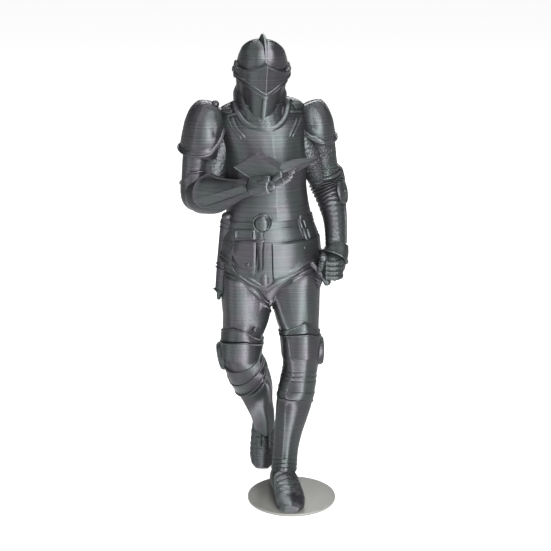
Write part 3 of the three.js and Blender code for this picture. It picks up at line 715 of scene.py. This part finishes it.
right_upper_arm = Limb(
    [(-38.6, 3.6, 172, 6.6), (-40.4, 3.4, 165, 6.2), (-41.4, 3.2, 157, 5.8), (-42.0, 3.0, 149, 5.8),
     (-42.4, 2.8, 141, 6.0)]
)
right_forearm = Limb(
    [(-43.4, 5.0, 139.6, 5.2), (-39.2, 0.8, 140.6, 7.8), (-34.0, -4.2, 141.8, 8.0), (-28.0, -9.6, 143.6, 5.8),
     (-22.0, -15.0, 146.0, 3.6), (-17.6, -18.8, 147.9, 3.0)],
    UP,
)
left_upper_arm = Limb(
    [(9.6, 11.0, 172, 6.8), (11.4, 12.0, 165, 6.6), (13.0, 13.4, 156, 6.2), (14.2, 14.4, 148, 6.0),
     (15.2, 15.2, 139.5, 6.2)]
)
left_forearm = Limb(
    [(13.9, 15.0, 151.6, 5.4), (14.3, 15.4, 148.2, 7.1), (14.9, 15.6, 144.0, 7.5), (16.0, 14.8, 139.6, 6.8),
     (17.1, 12.8, 134.5, 5.7, 6.3), (18.4, 9.6, 128, 4.8, 5.6), (18.9, 6.2, 121.5, 4.5, 5.0),
     (19.0, 3.4, 115.5, 4.5)]
)
right_sleeve = Limb(
    [(-27, 7.6, 170, 7.5), (-31.6, 6.6, 160, 7.8), (-34.6, 5.6, 149, 7.8), (-38.4, 4.6, 141, 5.4)]
)
left_sleeve = Limb([(2, 9.4, 168, 7.2), (6.4, 10.6, 158, 6.4), (10.6, 12.4, 148, 5.2), (13, 14, 142, 4.2)])
MAIL_PITCH = 1.6


def links(share, angle, length, radius, height=0.15):
    """Rows of small links of mail, each row half a link beside the last."""
    row = share * length / (MAIL_PITCH * 0.75)
    around = angle * radius / MAIL_PITCH
    return height * np.cos(2 * pi * (around + 0.5 * (np.rint(row) % 2))) * np.cos(2 * pi * row)


def mail(surface, radius):
    length = surface.length()
    return lambda share, angle: links(share, angle, length, radius)


def make_sleeves():
    for surface in (right_sleeve, left_sleeve):
        steps = int(surface.length() / 0.42)
        tube(surface, even(0, 1, steps), 84, mail(surface, 6.6))


def make_right_arm():
    cuff = by_angle((-100, -46, -14, 29, 62, 110), (0.86, 0.776, 0.667, 0.639, 0.681, 0.78))
    rings = [(0.0, 0.0), *even(0.03, moved(right_upper_arm, cuff, -0.8), 14, 0.1)]
    rings += [(cuff, 0.0), *roll_start(right_upper_arm, moved(right_upper_arm, cuff, 0.3), 0.5, 0.0, 0.5)]
    rings += even(moved(right_upper_arm, cuff, 1.8), 1, 8, 0.4, 0.2)

    def outer_plate(share, angle):
        degrees = np.degrees(angle)
        return 0.35 * ramp(degrees, -53, -51) * ramp(-degrees, -39, -37) * ramp(-share, -0.6, -0.56)

    tube(right_upper_arm, rings, spread(52, -52, 38), outer_plate)
    ball((-42.0, 3.0, 140.8), (6.5, 6.4, 7.6), segments=32)
    tube(right_forearm, even(0, 1, 36, 0.4, 0.0), 56)

    # the plate on the outer side of the forearm, round at the elbow, with a ridge that runs to the wrist
    def vambrace(u, v):
        start = 0.335 + 0.13 * np.abs(u) ** 3
        return -66 + 56 * u, start + (0.97 - start) * (v + 1) / 2

    def ridges(u, v):
        track = -0.52 + 0.46 * (v + 1) / 2
        away = np.abs(u - track)
        rise = 0.55 * np.maximum(0, 1 - away / 0.5) + 0.25 * np.maximum(0, 1 - away / 0.06)
        flare = 0.9 * ramp(-v, 0.5, 1.0) * (1 - 0.5 * np.abs(u))
        return rise + flare + 0.6 * ramp(np.maximum(np.abs(u), -v), 0.86, 0.91) - 0.6 * ramp(v, 0.5, 1.0)

    plate(right_forearm, vambrace, 0.7, 2.4, 44, 30, ridges)


def make_left_arm():
    tube(left_upper_arm, even(0, 1, 60), 84, mail(left_upper_arm, 6.4))
    ball((16.6, 16.4, 139.5), (6.4, 6.0, 7.0), segments=28)
    axis = unit((0.93, -0.30, 0.22))
    heart = np.array((21.4, 13.6, 139.6))
    wing = [(0, 2.0), (2.6, 1.9), (4.4, 1.5), (4.9, 1.8), (5.6, 1.6), (6.2, 1.0), (6.3, 0.5), (5.8, 0.1),
            (4.6, -0.8), (3.8, -2.6), (0, -2.6)]
    turned(heart, axis, wing, 36)
    turned(heart + axis * 1.6, axis, [(0, 1.1), (0.8, 0.9), (1.2, 0), (1.2, -1), (0, -1)], 14)

    def folds(share, angle):
        # big slanted folds round the elbow, fine ones towards the wrist
        place = np.interp(share, (0, 0.3, 0.55, 1), (0, 3.8, 8.4, 19))
        place = place + 0.8 * (1 - share) * np.sin(angle) + 0.2 * np.sin(3 * angle + 14 * share)
        wave = np.abs(np.sin(pi * place)) ** 0.8
        depth = np.interp(share, (0, 0.1, 0.35, 0.5, 0.65, 1), (0.8, 1.3, 1.0, 0.55, 0.2, 0.14))
        return depth * (wave - 0.55)

    tube(left_forearm, even(0, 1, 180), 48, folds)

    def guard(u, v):
        return 140 + u * 62 * (1 - 0.35 * ramp(v, 0.2, 1)), np.interp(v, (-1, 1), (0.06, 0.93))

    plate(left_forearm, guard, 0.8, 2.4, 12, 20, rim=0.25)


# Pauldrons: domes over the shoulders with rolled rims

right_pauldron = Limb(
    [(-34.6, 2.4, 180.6, 2.0, 2.2), (-35.1, 2.4, 179.3, 5.3, 6.2), (-36.4, 2.6, 175.5, 7.8, 9.0),
     (-37.2, 2.8, 171.3, 9.0, 10.4), (-37.8, 3.2, 166, 9.7, 11.0), (-38.6, 3.8, 161.2, 9.9, 11.0),
     (-39.0, 4.2, 159.0, 10.3, 11.4)],
    facing(12),
)
left_pauldron = Limb(
    [(6.8, 9.6, 179.7, 2.0, 2.2), (7.2, 9.6, 178.7, 5.6, 6.4), (8.4, 10.0, 175.0, 7.3, 8.8),
     (9.4, 10.6, 170.4, 8.2, 10.0), (10.2, 11.4, 165.6, 8.3, 10.2), (10.9, 12.0, 162.6, 8.5, 10.4)],
    facing(12),
)
right_pauldron_edge = by_angle(
    (-180, -130, -60, -20, 6, 35, 50, 75, 95, 130, 150, 180),
    (0.9, 1.0, 1.0, 0.93, 0.85, 0.675, 0.54, 0.45, 0.5, 0.55, 0.7, 0.9),
)
left_pauldron_edge = by_angle(
    (-180, -150, -130, -95, -71, -58, -46, -25, -8, 20, 130, 180),
    (0.9, 0.75, 0.6, 0.5, 0.45, 0.64, 0.70, 0.79, 0.87, 1.0, 1.0, 0.9),
)


def make_pauldrons():
    for surface, edge, rib in (
        (right_pauldron, right_pauldron_edge, crest_line(0.22, 3.5, -36)),
        (left_pauldron, left_pauldron_edge, 0.0),
    ):
        groove = moved(surface, edge, -2.0)
        rings = [(0.0, 0.0, 0.45), (0.0, 0.0, 0.85), *even(0.01, moved(surface, groove, -1.2), 30, rib)]
        rings += [(groove, -0.2), (moved(surface, groove, 0.5), 0.15), (moved(surface, edge, -0.9), 0.25)]
        rings += [*roll_end(surface, edge, 0.25, -1.4, 0.42), (1.0, -2.2), (1.0, -3.0, 0.8)]
        tube(surface, rings, spread(60, -36))
    ball((-32.8, 0.4, 180.0), (1.7, 1.7, 1.6))


# Helmet, in the head's own frame: bowed over the book

HEAD = np.array((-13.2, 1.6, 193.5))
HEAD_YAW, HEAD_BOW, HEAD_TILT = radians(8), radians(17), radians(2)
head_turn = Matrix.Rotation(HEAD_YAW, 3, "Z") @ Matrix.Rotation(HEAD_BOW, 3, "X")
head_turn = np.array(head_turn @ Matrix.Rotation(HEAD_TILT, 3, "Y"))


def on_head(x, y, z):
    return head_turn @ np.array((x, y, z)) + HEAD


head_front = head_turn @ FRONT
skull = Limb(
    [
        (*on_head(0, y, z), *sizes)
        for y, z, *sizes in (
            (0.6, 13.3, 1.6, 1.8, 2.0), (0.5, 12.5, 5.4, 5.8, 6.0), (0.4, 9.6, 9.0, 9.8, 10.0),
            (0.2, 5.0, 10.5, 11.6, 11.9), (0, 0, 10.6, 12.3, 12.2), (0, -5.0, 10.0, 13.2, 11.4),
            (0, -10.0, 9.4, 12.6, 10.4), (0, -15.0, 8.6, 11.6, 9.6), (0, -19, 6.6, 9.4, 8.0),
            (0, -20.6, 4.4, 6.6, 6.0),
        )
    ],
    head_front,
)
neck = Limb(
    [
        (-13.9, 5.4, 187.5, 10.2, 9.8, 10.0), (-14.0, 5.6, 183.5, 11.5, 10.6, 11.0),
        (-13.9, 5.8, 179, 11.2, 10.8, 11.2), (-13.7, 6.0, 174, 12.6, 12.4, 12.4),
        (-13.4, 6.0, 170.5, 14.0, 13.6, 13.4),
    ],
    facing(TORSO_YAW),
)
VISOR_REACH = 82
BEVOR_REACH = 100


def drop(angle):
    return np.sin(1.5 * np.minimum(np.abs(angle), radians(60)))


def sight(angle):
    return 0.265 + 0.11 * drop(angle)


def visor_point(angle):
    return 0.53 - 0.08 * drop(angle)


def in_front(lift, rise, reach):
    def height(angle):
        degrees = np.abs(np.degrees(angle))
        inside = ramp(-degrees, -reach - 0.5, -reach + 0.5)
        return inside * (lift + rise * np.maximum(0, 1 - degrees / 40))

    return height


def make_helmet():
    ridge = crest_line(0.35, 3.0)
    lobes = add(crest_line(0.8, 17, -22), crest_line(0.7, 17, 25))
    visor = add(in_front(1.3, 1.8, VISOR_REACH), ridge)
    bevor = in_front(0.5, 1.5, BEVOR_REACH)

    def panel(angle):
        degrees = np.abs(np.degrees(angle))
        inside = ramp(degrees, 4.2, 5.8) * ramp(-degrees, -80, -76)
        return bevor(angle) - 0.6 * inside

    def front_only(height):
        return lambda angle: height * ramp(-np.abs(np.degrees(angle)), -VISOR_REACH - 0.5, -VISOR_REACH + 0.5)

    rings = [
        (0.0, 0.0, 0.5),
        *even(0, 0.08, 5),
        *even(0.09, 0.16, 5, 0.0, lobes),
        *even(0.175, moved(skull, sight, -1.6), 9, lobes, 0.0),
        (moved(skull, sight, -1.0), 0.0),
        (moved(skull, sight, -0.8), front_only(-0.5)),
        (moved(skull, sight, -0.1), front_only(-0.5)),
        *roll_start(skull, sight, visor, front_only(-0.5), 0.35),
        *even(moved(skull, sight, 1.4), moved(skull, visor_point, -1.6), 12, visor),
        *roll_end(skull, visor_point, visor, bevor, 0.45),
        *even(moved(skull, visor_point, 0.4), moved(skull, visor_point, 1.3), 1, bevor),
        (moved(skull, visor_point, 1.35), add(bevor, 0.35)),
        (moved(skull, visor_point, 2.0), add(bevor, 0.35)),
        *even(moved(skull, visor_point, 2.4), 0.885, 16, panel),
        *even(0.9, 0.94, 3, bevor),
        (0.97, 0.2),
        (1.0, 0.0),
    ]
    marks = (0, 5, -5, VISOR_REACH, -VISOR_REACH, BEVOR_REACH, -BEVOR_REACH, 78, -78)
    tube(skull, rings, spread(80, *marks, gap=0.7))
    # the comb over the crown, thinner at its edge
    bm = bmesh.new()
    bmesh.ops.create_grid(bm, x_segments=40, y_segments=10, size=1)
    bmesh.ops.solidify(bm, geom=bm.faces[:], thickness=1)

    def blade(old):
        turn = np.radians(85 + 80 * old[:, 0])
        rise = (old[:, 1] + 1) / 2
        # from a root inside the crown to the outline of the comb
        length, height = 7 + 6.2 * rise, 6.5 + 8.9 * rise
        half = 0.4 + np.interp(np.degrees(turn), (5, 40, 90, 165), (1.6, 2.2, 4.5, 3)) * (1 - rise)
        side = np.where(old[:, 2] > old[:, 2].mean(), 1, -1) * half
        places = np.stack([side, 0.4 - length * np.cos(turn), height * np.sin(turn) + 0.3], axis=1)
        return places @ head_turn.T + HEAD

    place(bm, blade)
    keep(bm)
    for side in (-1, 1):
        axis = head_turn @ np.array((side, 0.12, 0))
        ear = [(0, 2.0), (0.9, 1.9), (1.3, 1.5), (2.4, 1.35), (3.3, 1.2), (3.8, 0.6), (3.8, -1.6), (0, -1.6)]
        turned(on_head(side * 10.5, 1.2, 0.4), axis, ear, 32)


def make_collar():
    woven = mail(neck, 12)

    def links_below(share, angle):
        return woven(share, angle) * ramp(share, 0.48, 0.52)

    rings = [*even(0, 0.42, 8), *roll_end(neck, 0.45, 0.3, -0.1, 0.4), *even(0.47, 1.0, 30, 0.1, -0.6)]
    tube(neck, rings, 120, links_below)
    # the collar's rolled rim lies on the breast and goes up to the shoulders
    rim = [(0.0, -75), (0.005, -60), (0.09, -38), (0.14, -28.5), (0.172, -18), (0.192, -4.5), (0.196, 7),
           (0.178, 17.5), (0.134, 27), (0.085, 34), (0.03, 44), (0.0, 60)]
    ribbon(torso, rim, 2.6, 1.5, 0.2, sides=18, power=2.4)


def make_straps():
    """Straps with raised edges, which hold the breastplate: each runs down from a bar on the shoulder."""
    for top, low in (((0.122, -45.5), (0.246, -30)), ((0.157, 45), (0.266, 29.5))):
        middle = tuple((a + b) / 2 for a, b in zip(top, low))
        ribbon(torso, [top, middle, low], 2.4, 0.8, 0.3, sides=16, power=4)
        for side in (-3.0, 3.0):
            edge = [(s, a + side * k) for (s, a), k in zip((top, middle, low), (1.3, 1.1, 0.9))]
            ribbon(torso, edge, 0.9, 0.8, 0.7, sides=8)
    ribbon(torso, [(0.124, -56), (0.112, -44), (0.10, -32.5)], 1.5, 1.0, 0.6)
    ribbon(torso, [(0.112, 33.5), (0.118, 46), (0.126, 58)], 1.5, 1.0, 0.6)
    # bands over the shoulders, from the collar to the bars
    for side in (-1, 1):
        plate(torso, span((side * 46, side * 74), (0.004, 0.105)), 0.7, 2.0, 10, 10, rim=0.25)


# The open book on the right hand

BOOK_NEAR = np.array((-4.8, -31.0, 157.0))
BOOK_SPINE = np.array((-9.0, 15.8, -8.4))
BOOK_LEFT = np.array((-10.7, -2.0, 7.6))
BOOK_RIGHT = np.array((15.0, 8.0, 3.2))
BOOK_THICK = 1.7
COVER = 0.55
PAGE_INSET = 0.5
PAGE_SWELL = 1.6


def make_book():
    for first, second, wing in ((BOOK_SPINE, BOOK_LEFT, BOOK_LEFT), (BOOK_RIGHT, BOOK_SPINE, BOOK_RIGHT)):
        inward = unit(np.cross(first, second))
        along, out = unit(BOOK_SPINE), unit(wing)
        slab(BOOK_NEAR, first, second, inward * COVER, soft=0.2)
        # the block of pages, a little smaller than the cover, which swells near the spine
        corner = BOOK_NEAR + along * PAGE_INSET + inward * (COVER - 0.1)
        sizes = [edge - PAGE_INSET * (out if edge is wing else 2 * along) for edge in (first, second)]
        axis = 0 if first is wing else 1

        def swell(old, axis=axis, inward=inward):
            lift = PAGE_SWELL * np.sin(pi * np.clip(old[:, axis], 0, 1) ** 0.6) ** 1.2 * old[:, 2]
            return inward * lift[:, None]

        slab(corner, *sizes, inward * (BOOK_THICK - COVER + 0.1), cuts=9, soft=0, shape=swell)
    lower = np.array((0, 0, -0.6))
    bar([BOOK_NEAR + lower, BOOK_NEAR + BOOK_SPINE + lower], (1.5, 1.2), BOOK_RIGHT)


# Hands: the right palm under the book's spine, the left fist under its cuff

WRIST = np.array((-18.4, -18.2, 147.8))
PALM = np.array((-8.4, -24.2, 151.0))
PALM_ACROSS = unit((0.28, -0.80, -0.30))
FINGER = np.array((15.6, -0.2, 8.0))


def finger(points, radius, rim):
    """A gauntlet's finger: a soft bar with three low knuckle rims."""
    sizes = [(radius, radius * 1.05)] * (len(points) - 1) + [(radius * 0.8, radius * 0.85)]
    limb = bar(points, sizes, UP, 12, 10)
    for share in (0.12, 0.42, 0.7):
        tube(limb, [(share, 0.0), (share + 0.02, rim), (share + 0.07, rim), (share + 0.09, 0.0)], 12)


def make_right_hand():
    back = np.cross(PALM_ACROSS, PALM - WRIST)
    sizes = [(3.5, 2.9), (4.5, 3.2), (4.6, 2.9)]
    bar([WRIST, (WRIST + PALM) / 2, PALM], sizes, back, 28, 14, power=2.6, nose=0.6)
    for i, spot in enumerate((-1.5, -0.5, 0.5, 1.5)):
        root = PALM + PALM_ACROSS * spot * 2.2 + np.array((-3.4, 0.6, -0.8))
        finger([root, root + FINGER * 0.45 + np.array((0, 0, -0.8)), root + FINGER * (1 - 0.1 * i)], 1.3, 0.1)
    finger([(-15.8, -20.5, 149.2), (-12.8, -23.8, 151.6), (-9.6, -27.2, 153.4)], 1.5, 0.1)


def make_left_hand():
    stations = [(20.2, 4.2, 118.2, 4.6), (19.2, 2.6, 115.0, 5.4, 6.2), (17.9, 1.0, 112.4, 5.9, 7.1)]
    cuff = Limb(stations, facing(24))
    tube(cuff, [*even(0, 0.8, 8), *roll_end(cuff, 1.0, 0.1, -1.6, 0.65)], 48)
    ball((18.0, -0.4, 110.2), (5.4, 5.8, 5.6), segments=32)
    for i in range(4):
        z = 111.8 - 2.1 * i
        points = [(21.6, -2.4, z + 0.6), (19.6, -5.6, z + 0.1), (15.8, -5.8, z), (13.2, -3.2, z + 0.2)]
        finger(points, 1.25, 0.2)


# The sword at the left hip

SWORD_GUARD = np.array((11.8, -2.6, 107.0))
SWORD_LINE = unit((-0.16, 0.55, -0.82))
SWORD_ACROSS = unit((0.6, -0.2, -0.75))
SCABBARD_LENGTH = 64
GRIP_LENGTH = 9


def make_sword():
    def at(distance):
        return SWORD_GUARD + SWORD_LINE * distance

    broad = np.cross(SWORD_LINE, SWORD_ACROSS)
    sizes = [(2.5, 1.35), (2.2, 1.2), (1.7, 1.0)]
    bar([at(-1), at(30), at(SCABBARD_LENGTH)], sizes, broad, 18, 20, power=2.6)
    for distance in (3, 5, 58, 60):
        size = 2.7 - distance * 0.012, 1.6 - distance * 0.006
        bar([at(distance), at(distance + 1)], size, broad, 16, 2, power=2.6)
    ball(at(SCABBARD_LENGTH), (1.6, 2.0, 1.6), segments=14)
    bar([at(-GRIP_LENGTH), at(0)], (1.4, 1.3), broad, 14)
    for i in range(5):
        bar([at(-7.5 + 1.4 * i), at(-6.8 + 1.4 * i)], (1.65, 1.55), broad, 12, 2)
    ball(at(-GRIP_LENGTH - 0.5), (1.9, 1.9, 1.9), segments=16)
    quillons = [SWORD_GUARD + SWORD_ACROSS * r for r in (-7, -3, 1, 4, 7)]
    bar(quillons, [(2.2, 1.9), (1.5, 1.4), (1.2, 1.1), (1.5, 1.3), (2.0, 1.9)], SWORD_LINE, 16, 14)


def evaluated(thing):
    return bpy.data.meshes.new_from_object(thing.evaluated_get(bpy.context.evaluated_depsgraph_get()))


def join_parts():
    """All parts joined into one mesh, thinned, brought to metres and set on the base."""
    bpy.context.scene.collection.children.link(parts)
    first = parts.objects[0]
    parts.objects.unlink(first)
    show(first)
    union = first.modifiers.new("union", "BOOLEAN")
    union.operation = "UNION"
    union.operand_type = "COLLECTION"
    union.collection = parts
    union.solver = "MANIFOLD"
    mesh = evaluated(first)
    for part in [first, *parts.objects]:
        bpy.data.objects.remove(part)
    bpy.data.collections.remove(parts)
    bm = bmesh.new()
    bm.from_mesh(mesh)
    # the soles are flat
    everything = bm.verts[:] + bm.edges[:] + bm.faces[:]
    cut = bmesh.ops.bisect_plane(
        bm, geom=everything, plane_co=(0, 0, 0), plane_no=(0, 0, -1), clear_outer=True
    )
    rims = [e for e in cut["geom_cut"] if isinstance(e, bmesh.types.BMEdge)]
    bmesh.ops.contextual_create(bm, geom=rims)
    bmesh.ops.dissolve_limit(
        bm, angle_limit=radians(MERGED), use_dissolve_boundaries=False, verts=bm.verts, edges=bm.edges
    )
    bmesh.ops.triangulate(bm, faces=bm.faces)
    bm.to_mesh(mesh)
    bm.free()
    # the joins leave many slivers, which are merged into their neighbours
    whole = bpy.data.objects.new("knight", mesh)
    show(whole)
    whole.modifiers.new("thin", "DECIMATE").ratio = KEPT_SHARE
    thinned = evaluated(whole)
    whole.modifiers.clear()
    whole.data = thinned
    bpy.data.meshes.remove(mesh)
    bm = bmesh.new()
    bm.from_mesh(thinned)
    bmesh.ops.scale(bm, verts=bm.verts, vec=(UNIT, UNIT, UNIT))
    bmesh.ops.translate(bm, verts=bm.verts, vec=(0, 0, sole))
    shared = sum(not e.is_manifold for e in bm.edges)
    loose = sum(e.is_boundary for e in bm.edges)
    print(f"figure: {len(bm.faces)} triangles, {shared} edges of more than two faces, {loose} open edges")
    bm.to_mesh(thinned)
    bm.free()
    thinned.name = "knight"
    thinned.materials.clear()
    return whole


make_torso()
make_belt()
make_dagger()
make_legs()
make_feet()
make_sleeves()
make_right_arm()
make_left_arm()
make_pauldrons()
make_helmet()
make_collar()
make_straps()
make_book()
make_right_hand()
make_left_hand()
make_sword()
knight = join_parts()
knight.data.shade_smooth()
knight.data.set_sharp_from_angle(angle=radians(FIGURE_CRISP))


# Finishes


def new_material(name):
    material = bpy.data.materials.new(name)
    material.use_nodes = True
    nodes, links = material.node_tree.nodes, material.node_tree.links
    return material, nodes, links, nodes["Principled BSDF"]


def maths(nodes, links, operation, first, second=None):
    node = nodes.new("ShaderNodeMath")
    node.operation = operation
    for socket, source in zip(node.inputs, (first, second)):
        if source is None:
            continue
        if isinstance(source, (int, float)):
            socket.default_value = source
        else:
            links.new(source, socket)
    return node.outputs[0]


def noise(nodes, scale, detail):
    node = nodes.new("ShaderNodeTexNoise")
    node.inputs["Scale"].default_value = scale
    node.inputs["Detail"].default_value = detail
    return node


def engrave(nodes, links, shader, height, strength, distance):
    """Fine relief of the print, too small for the mesh."""
    bump = nodes.new("ShaderNodeBump")
    bump.inputs["Strength"].default_value = strength
    bump.inputs["Distance"].default_value = distance
    links.new(height, bump.inputs["Height"])
    links.new(bump.outputs[0], shader.inputs["Normal"])


def two_tints(nodes, links, source, *stops):
    """Goes from one (place, colour) to the other with the source."""
    colours = nodes.new("ShaderNodeValToRGB")
    for element, (place, colour) in zip(colours.color_ramp.elements, stops):
        element.position = place
        element.color = (*colour, 1)
    links.new(source, colours.inputs[0])
    return colours.outputs[0]


def silk_print():
    """Dark silky print: a metallic shine, layer lines round the whole figure, and slow changes of tint."""
    material, nodes, links, shader = new_material("silk_print")
    place = nodes.new("ShaderNodeTexCoord").outputs["Object"]
    split = nodes.new("ShaderNodeSeparateXYZ")
    links.new(place, split.inputs[0])
    height = split.outputs["Z"]
    # each layer is a small round ridge
    wave = maths(nodes, links, "SINE", maths(nodes, links, "MULTIPLY", height, 2 * pi * 1000 / LAYER))
    # a slow wander from layer to layer
    bands = noise(nodes, 1700, 3)
    bands.noise_dimensions = "1D"
    links.new(height, bands.inputs["W"])
    ridge = maths(nodes, links, "ADD", wave, maths(nodes, links, "MULTIPLY", bands.outputs[0], 2.5))
    engrave(nodes, links, shader, ridge, 0.35, 0.00006)
    # tints drift from a cool green to a cool violet
    tint = noise(nodes, 80, 2)
    links.new(place, tint.inputs["Vector"])
    green, violet = (0.057, 0.066, 0.066), (0.064, 0.061, 0.069)
    colour = two_tints(nodes, links, tint.outputs[0], (0.38, green), (0.62, violet))
    # some layers catch a little more light than others
    glint = maths(nodes, links, "ADD", maths(nodes, links, "MULTIPLY", bands.outputs[0], 1.0), 0.5)
    shade = nodes.new("ShaderNodeVectorMath")
    shade.operation = "SCALE"
    links.new(colour, shade.inputs[0])
    links.new(glint, shade.inputs["Scale"])
    links.new(shade.outputs[0], shader.inputs["Base Color"])
    shader.inputs["Metallic"].default_value = 0.85
    shader.inputs["Roughness"].default_value = 0.5
    shader.inputs["Anisotropic"].default_value = 1.0
    shader.inputs["Anisotropic Rotation"].default_value = 0.25
    return material


def flat_print():
    """Lighter, duller print for the base: fine strokes of the top layer, laid in one direction."""
    material, nodes, links, shader = new_material("flat_print")
    place = nodes.new("ShaderNodeTexCoord").outputs["Object"]
    turn = nodes.new("ShaderNodeMapping")
    turn.inputs["Rotation"].default_value = (0, 0, radians(45))
    links.new(place, turn.inputs["Vector"])
    split = nodes.new("ShaderNodeSeparateXYZ")
    links.new(turn.outputs[0], split.inputs[0])
    across = maths(nodes, links, "MULTIPLY", split.outputs["X"], 2 * pi * 1000 / STROKE)
    engrave(nodes, links, shader, maths(nodes, links, "SINE", across), 0.2, 0.00004)
    cloud = noise(nodes, 120, 4)
    links.new(place, cloud.inputs["Vector"])
    dark, light = (0.096, 0.096, 0.090), (0.118, 0.118, 0.111)
    colour = two_tints(nodes, links, cloud.outputs[0], (0, dark), (1, light))
    links.new(colour, shader.inputs["Base Color"])
    shader.inputs["Metallic"].default_value = 0.1
    shader.inputs["Roughness"].default_value = 0.55
    return material


knight.data.materials.append(silk_print())
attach(knight, "root")
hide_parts("knight_figure")

bm = bmesh.new()
bmesh.ops.create_cone(
    bm, cap_ends=True, segments=128, radius1=BASE_RADIUS, radius2=BASE_RADIUS, depth=BASE_THICKNESS
)
bmesh.ops.translate(bm, verts=bm.verts, vec=(0, 0, BASE_THICKNESS / 2))
rims = [e for e in bm.edges if e.calc_face_angle(0) > 1 and abs(e.verts[0].co.z - e.verts[1].co.z) < 1e-6]
bmesh.ops.bevel(bm, geom=rims, offset=BASE_BEVEL, affect="EDGES", segments=3, profile=0.5, material=-1)
base = bpy.data.objects.new("base_disc", made_mesh("base_disc", bm))
show(base)
base.data.shade_smooth()
base.data.set_sharp_from_angle(angle=radians(BASE_CRISP))
base.data.materials.append(flat_print())
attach(base, "root")
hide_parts("round_base")


# Studio: a pale floor, soft lights and the camera

PALE = 0.95  # how bright the floor and the far wall look
AMBIENT = 0.02  # what the wall gives the figure
CAMERA_PLACE = (-0.00734, -0.5253, 0.2516)
CAMERA_TURN = (radians(74.45), 0, 0)
LENS = 81.7


def studio():
    material, _, _, shader = new_material("pale_floor")
    shader.inputs["Base Color"].default_value = (0.30, 0.30, 0.30, 1)
    shader.inputs["Roughness"].default_value = 0.9
    shader.inputs["Emission Color"].default_value = (1, 1, 1, 1)
    shader.inputs["Emission Strength"].default_value = PALE
    bm = bmesh.new()
    bmesh.ops.create_grid(bm, x_segments=1, y_segments=1, size=6)
    floor = bpy.data.objects.new("floor", made_mesh("floor", bm))
    floor.data.materials.append(material)
    show(floor)

    world = bpy.data.worlds.new("studio")
    world.use_nodes = True
    # the far wall is as pale as the floor, but gives the figure little light
    nodes, links = world.node_tree.nodes, world.node_tree.links
    nodes["Background"].inputs["Color"].default_value = (1, 1, 1, 1)
    seen = nodes.new("ShaderNodeLightPath").outputs["Is Camera Ray"]
    glow = maths(nodes, links, "MAXIMUM", maths(nodes, links, "MULTIPLY", seen, PALE), AMBIENT)
    links.new(glow, nodes["Background"].inputs["Strength"])
    bpy.context.scene.world = world

    aim = Vector((-0.008, 0.0, 0.11))
    for name, spot, size, power in (
        ("key", (0.40, -0.92, 0.38), (0.54, 0.72), 38.0),
        ("front", (-0.12, -0.99, 0.38), (0.50, 0.72), 9.0),
        ("fill", (-0.82, -0.57, 0.38), (0.80, 0.72), 6.5),
        ("top", (0.15, 0.15, 1.25), (1.0, 0.9), 16.0),
        ("back", (0.0, 1.0, 0.80), (0.30, 0.40), 7.0),
    ):
        light = bpy.data.lights.new(name, "AREA")
        light.shape = "RECTANGLE"
        light.size, light.size_y = size
        light.energy = power
        lamp = bpy.data.objects.new(name, light)
        lamp.location = spot
        lamp.rotation_euler = (aim - Vector(spot)).to_track_quat("-Z", "Y").to_euler()
        show(lamp)

    camera = bpy.data.cameras.new("camera")
    camera.sensor_width = 36
    camera.lens = LENS
    camera.clip_start, camera.clip_end = 0.01, 20
    eye = bpy.data.objects.new("camera", camera)
    eye.location = CAMERA_PLACE
    eye.rotation_euler = CAMERA_TURN
    show(eye)
    bpy.context.scene.camera = eye


studio()
bpy.context.scene.view_settings.view_transform = "Standard"
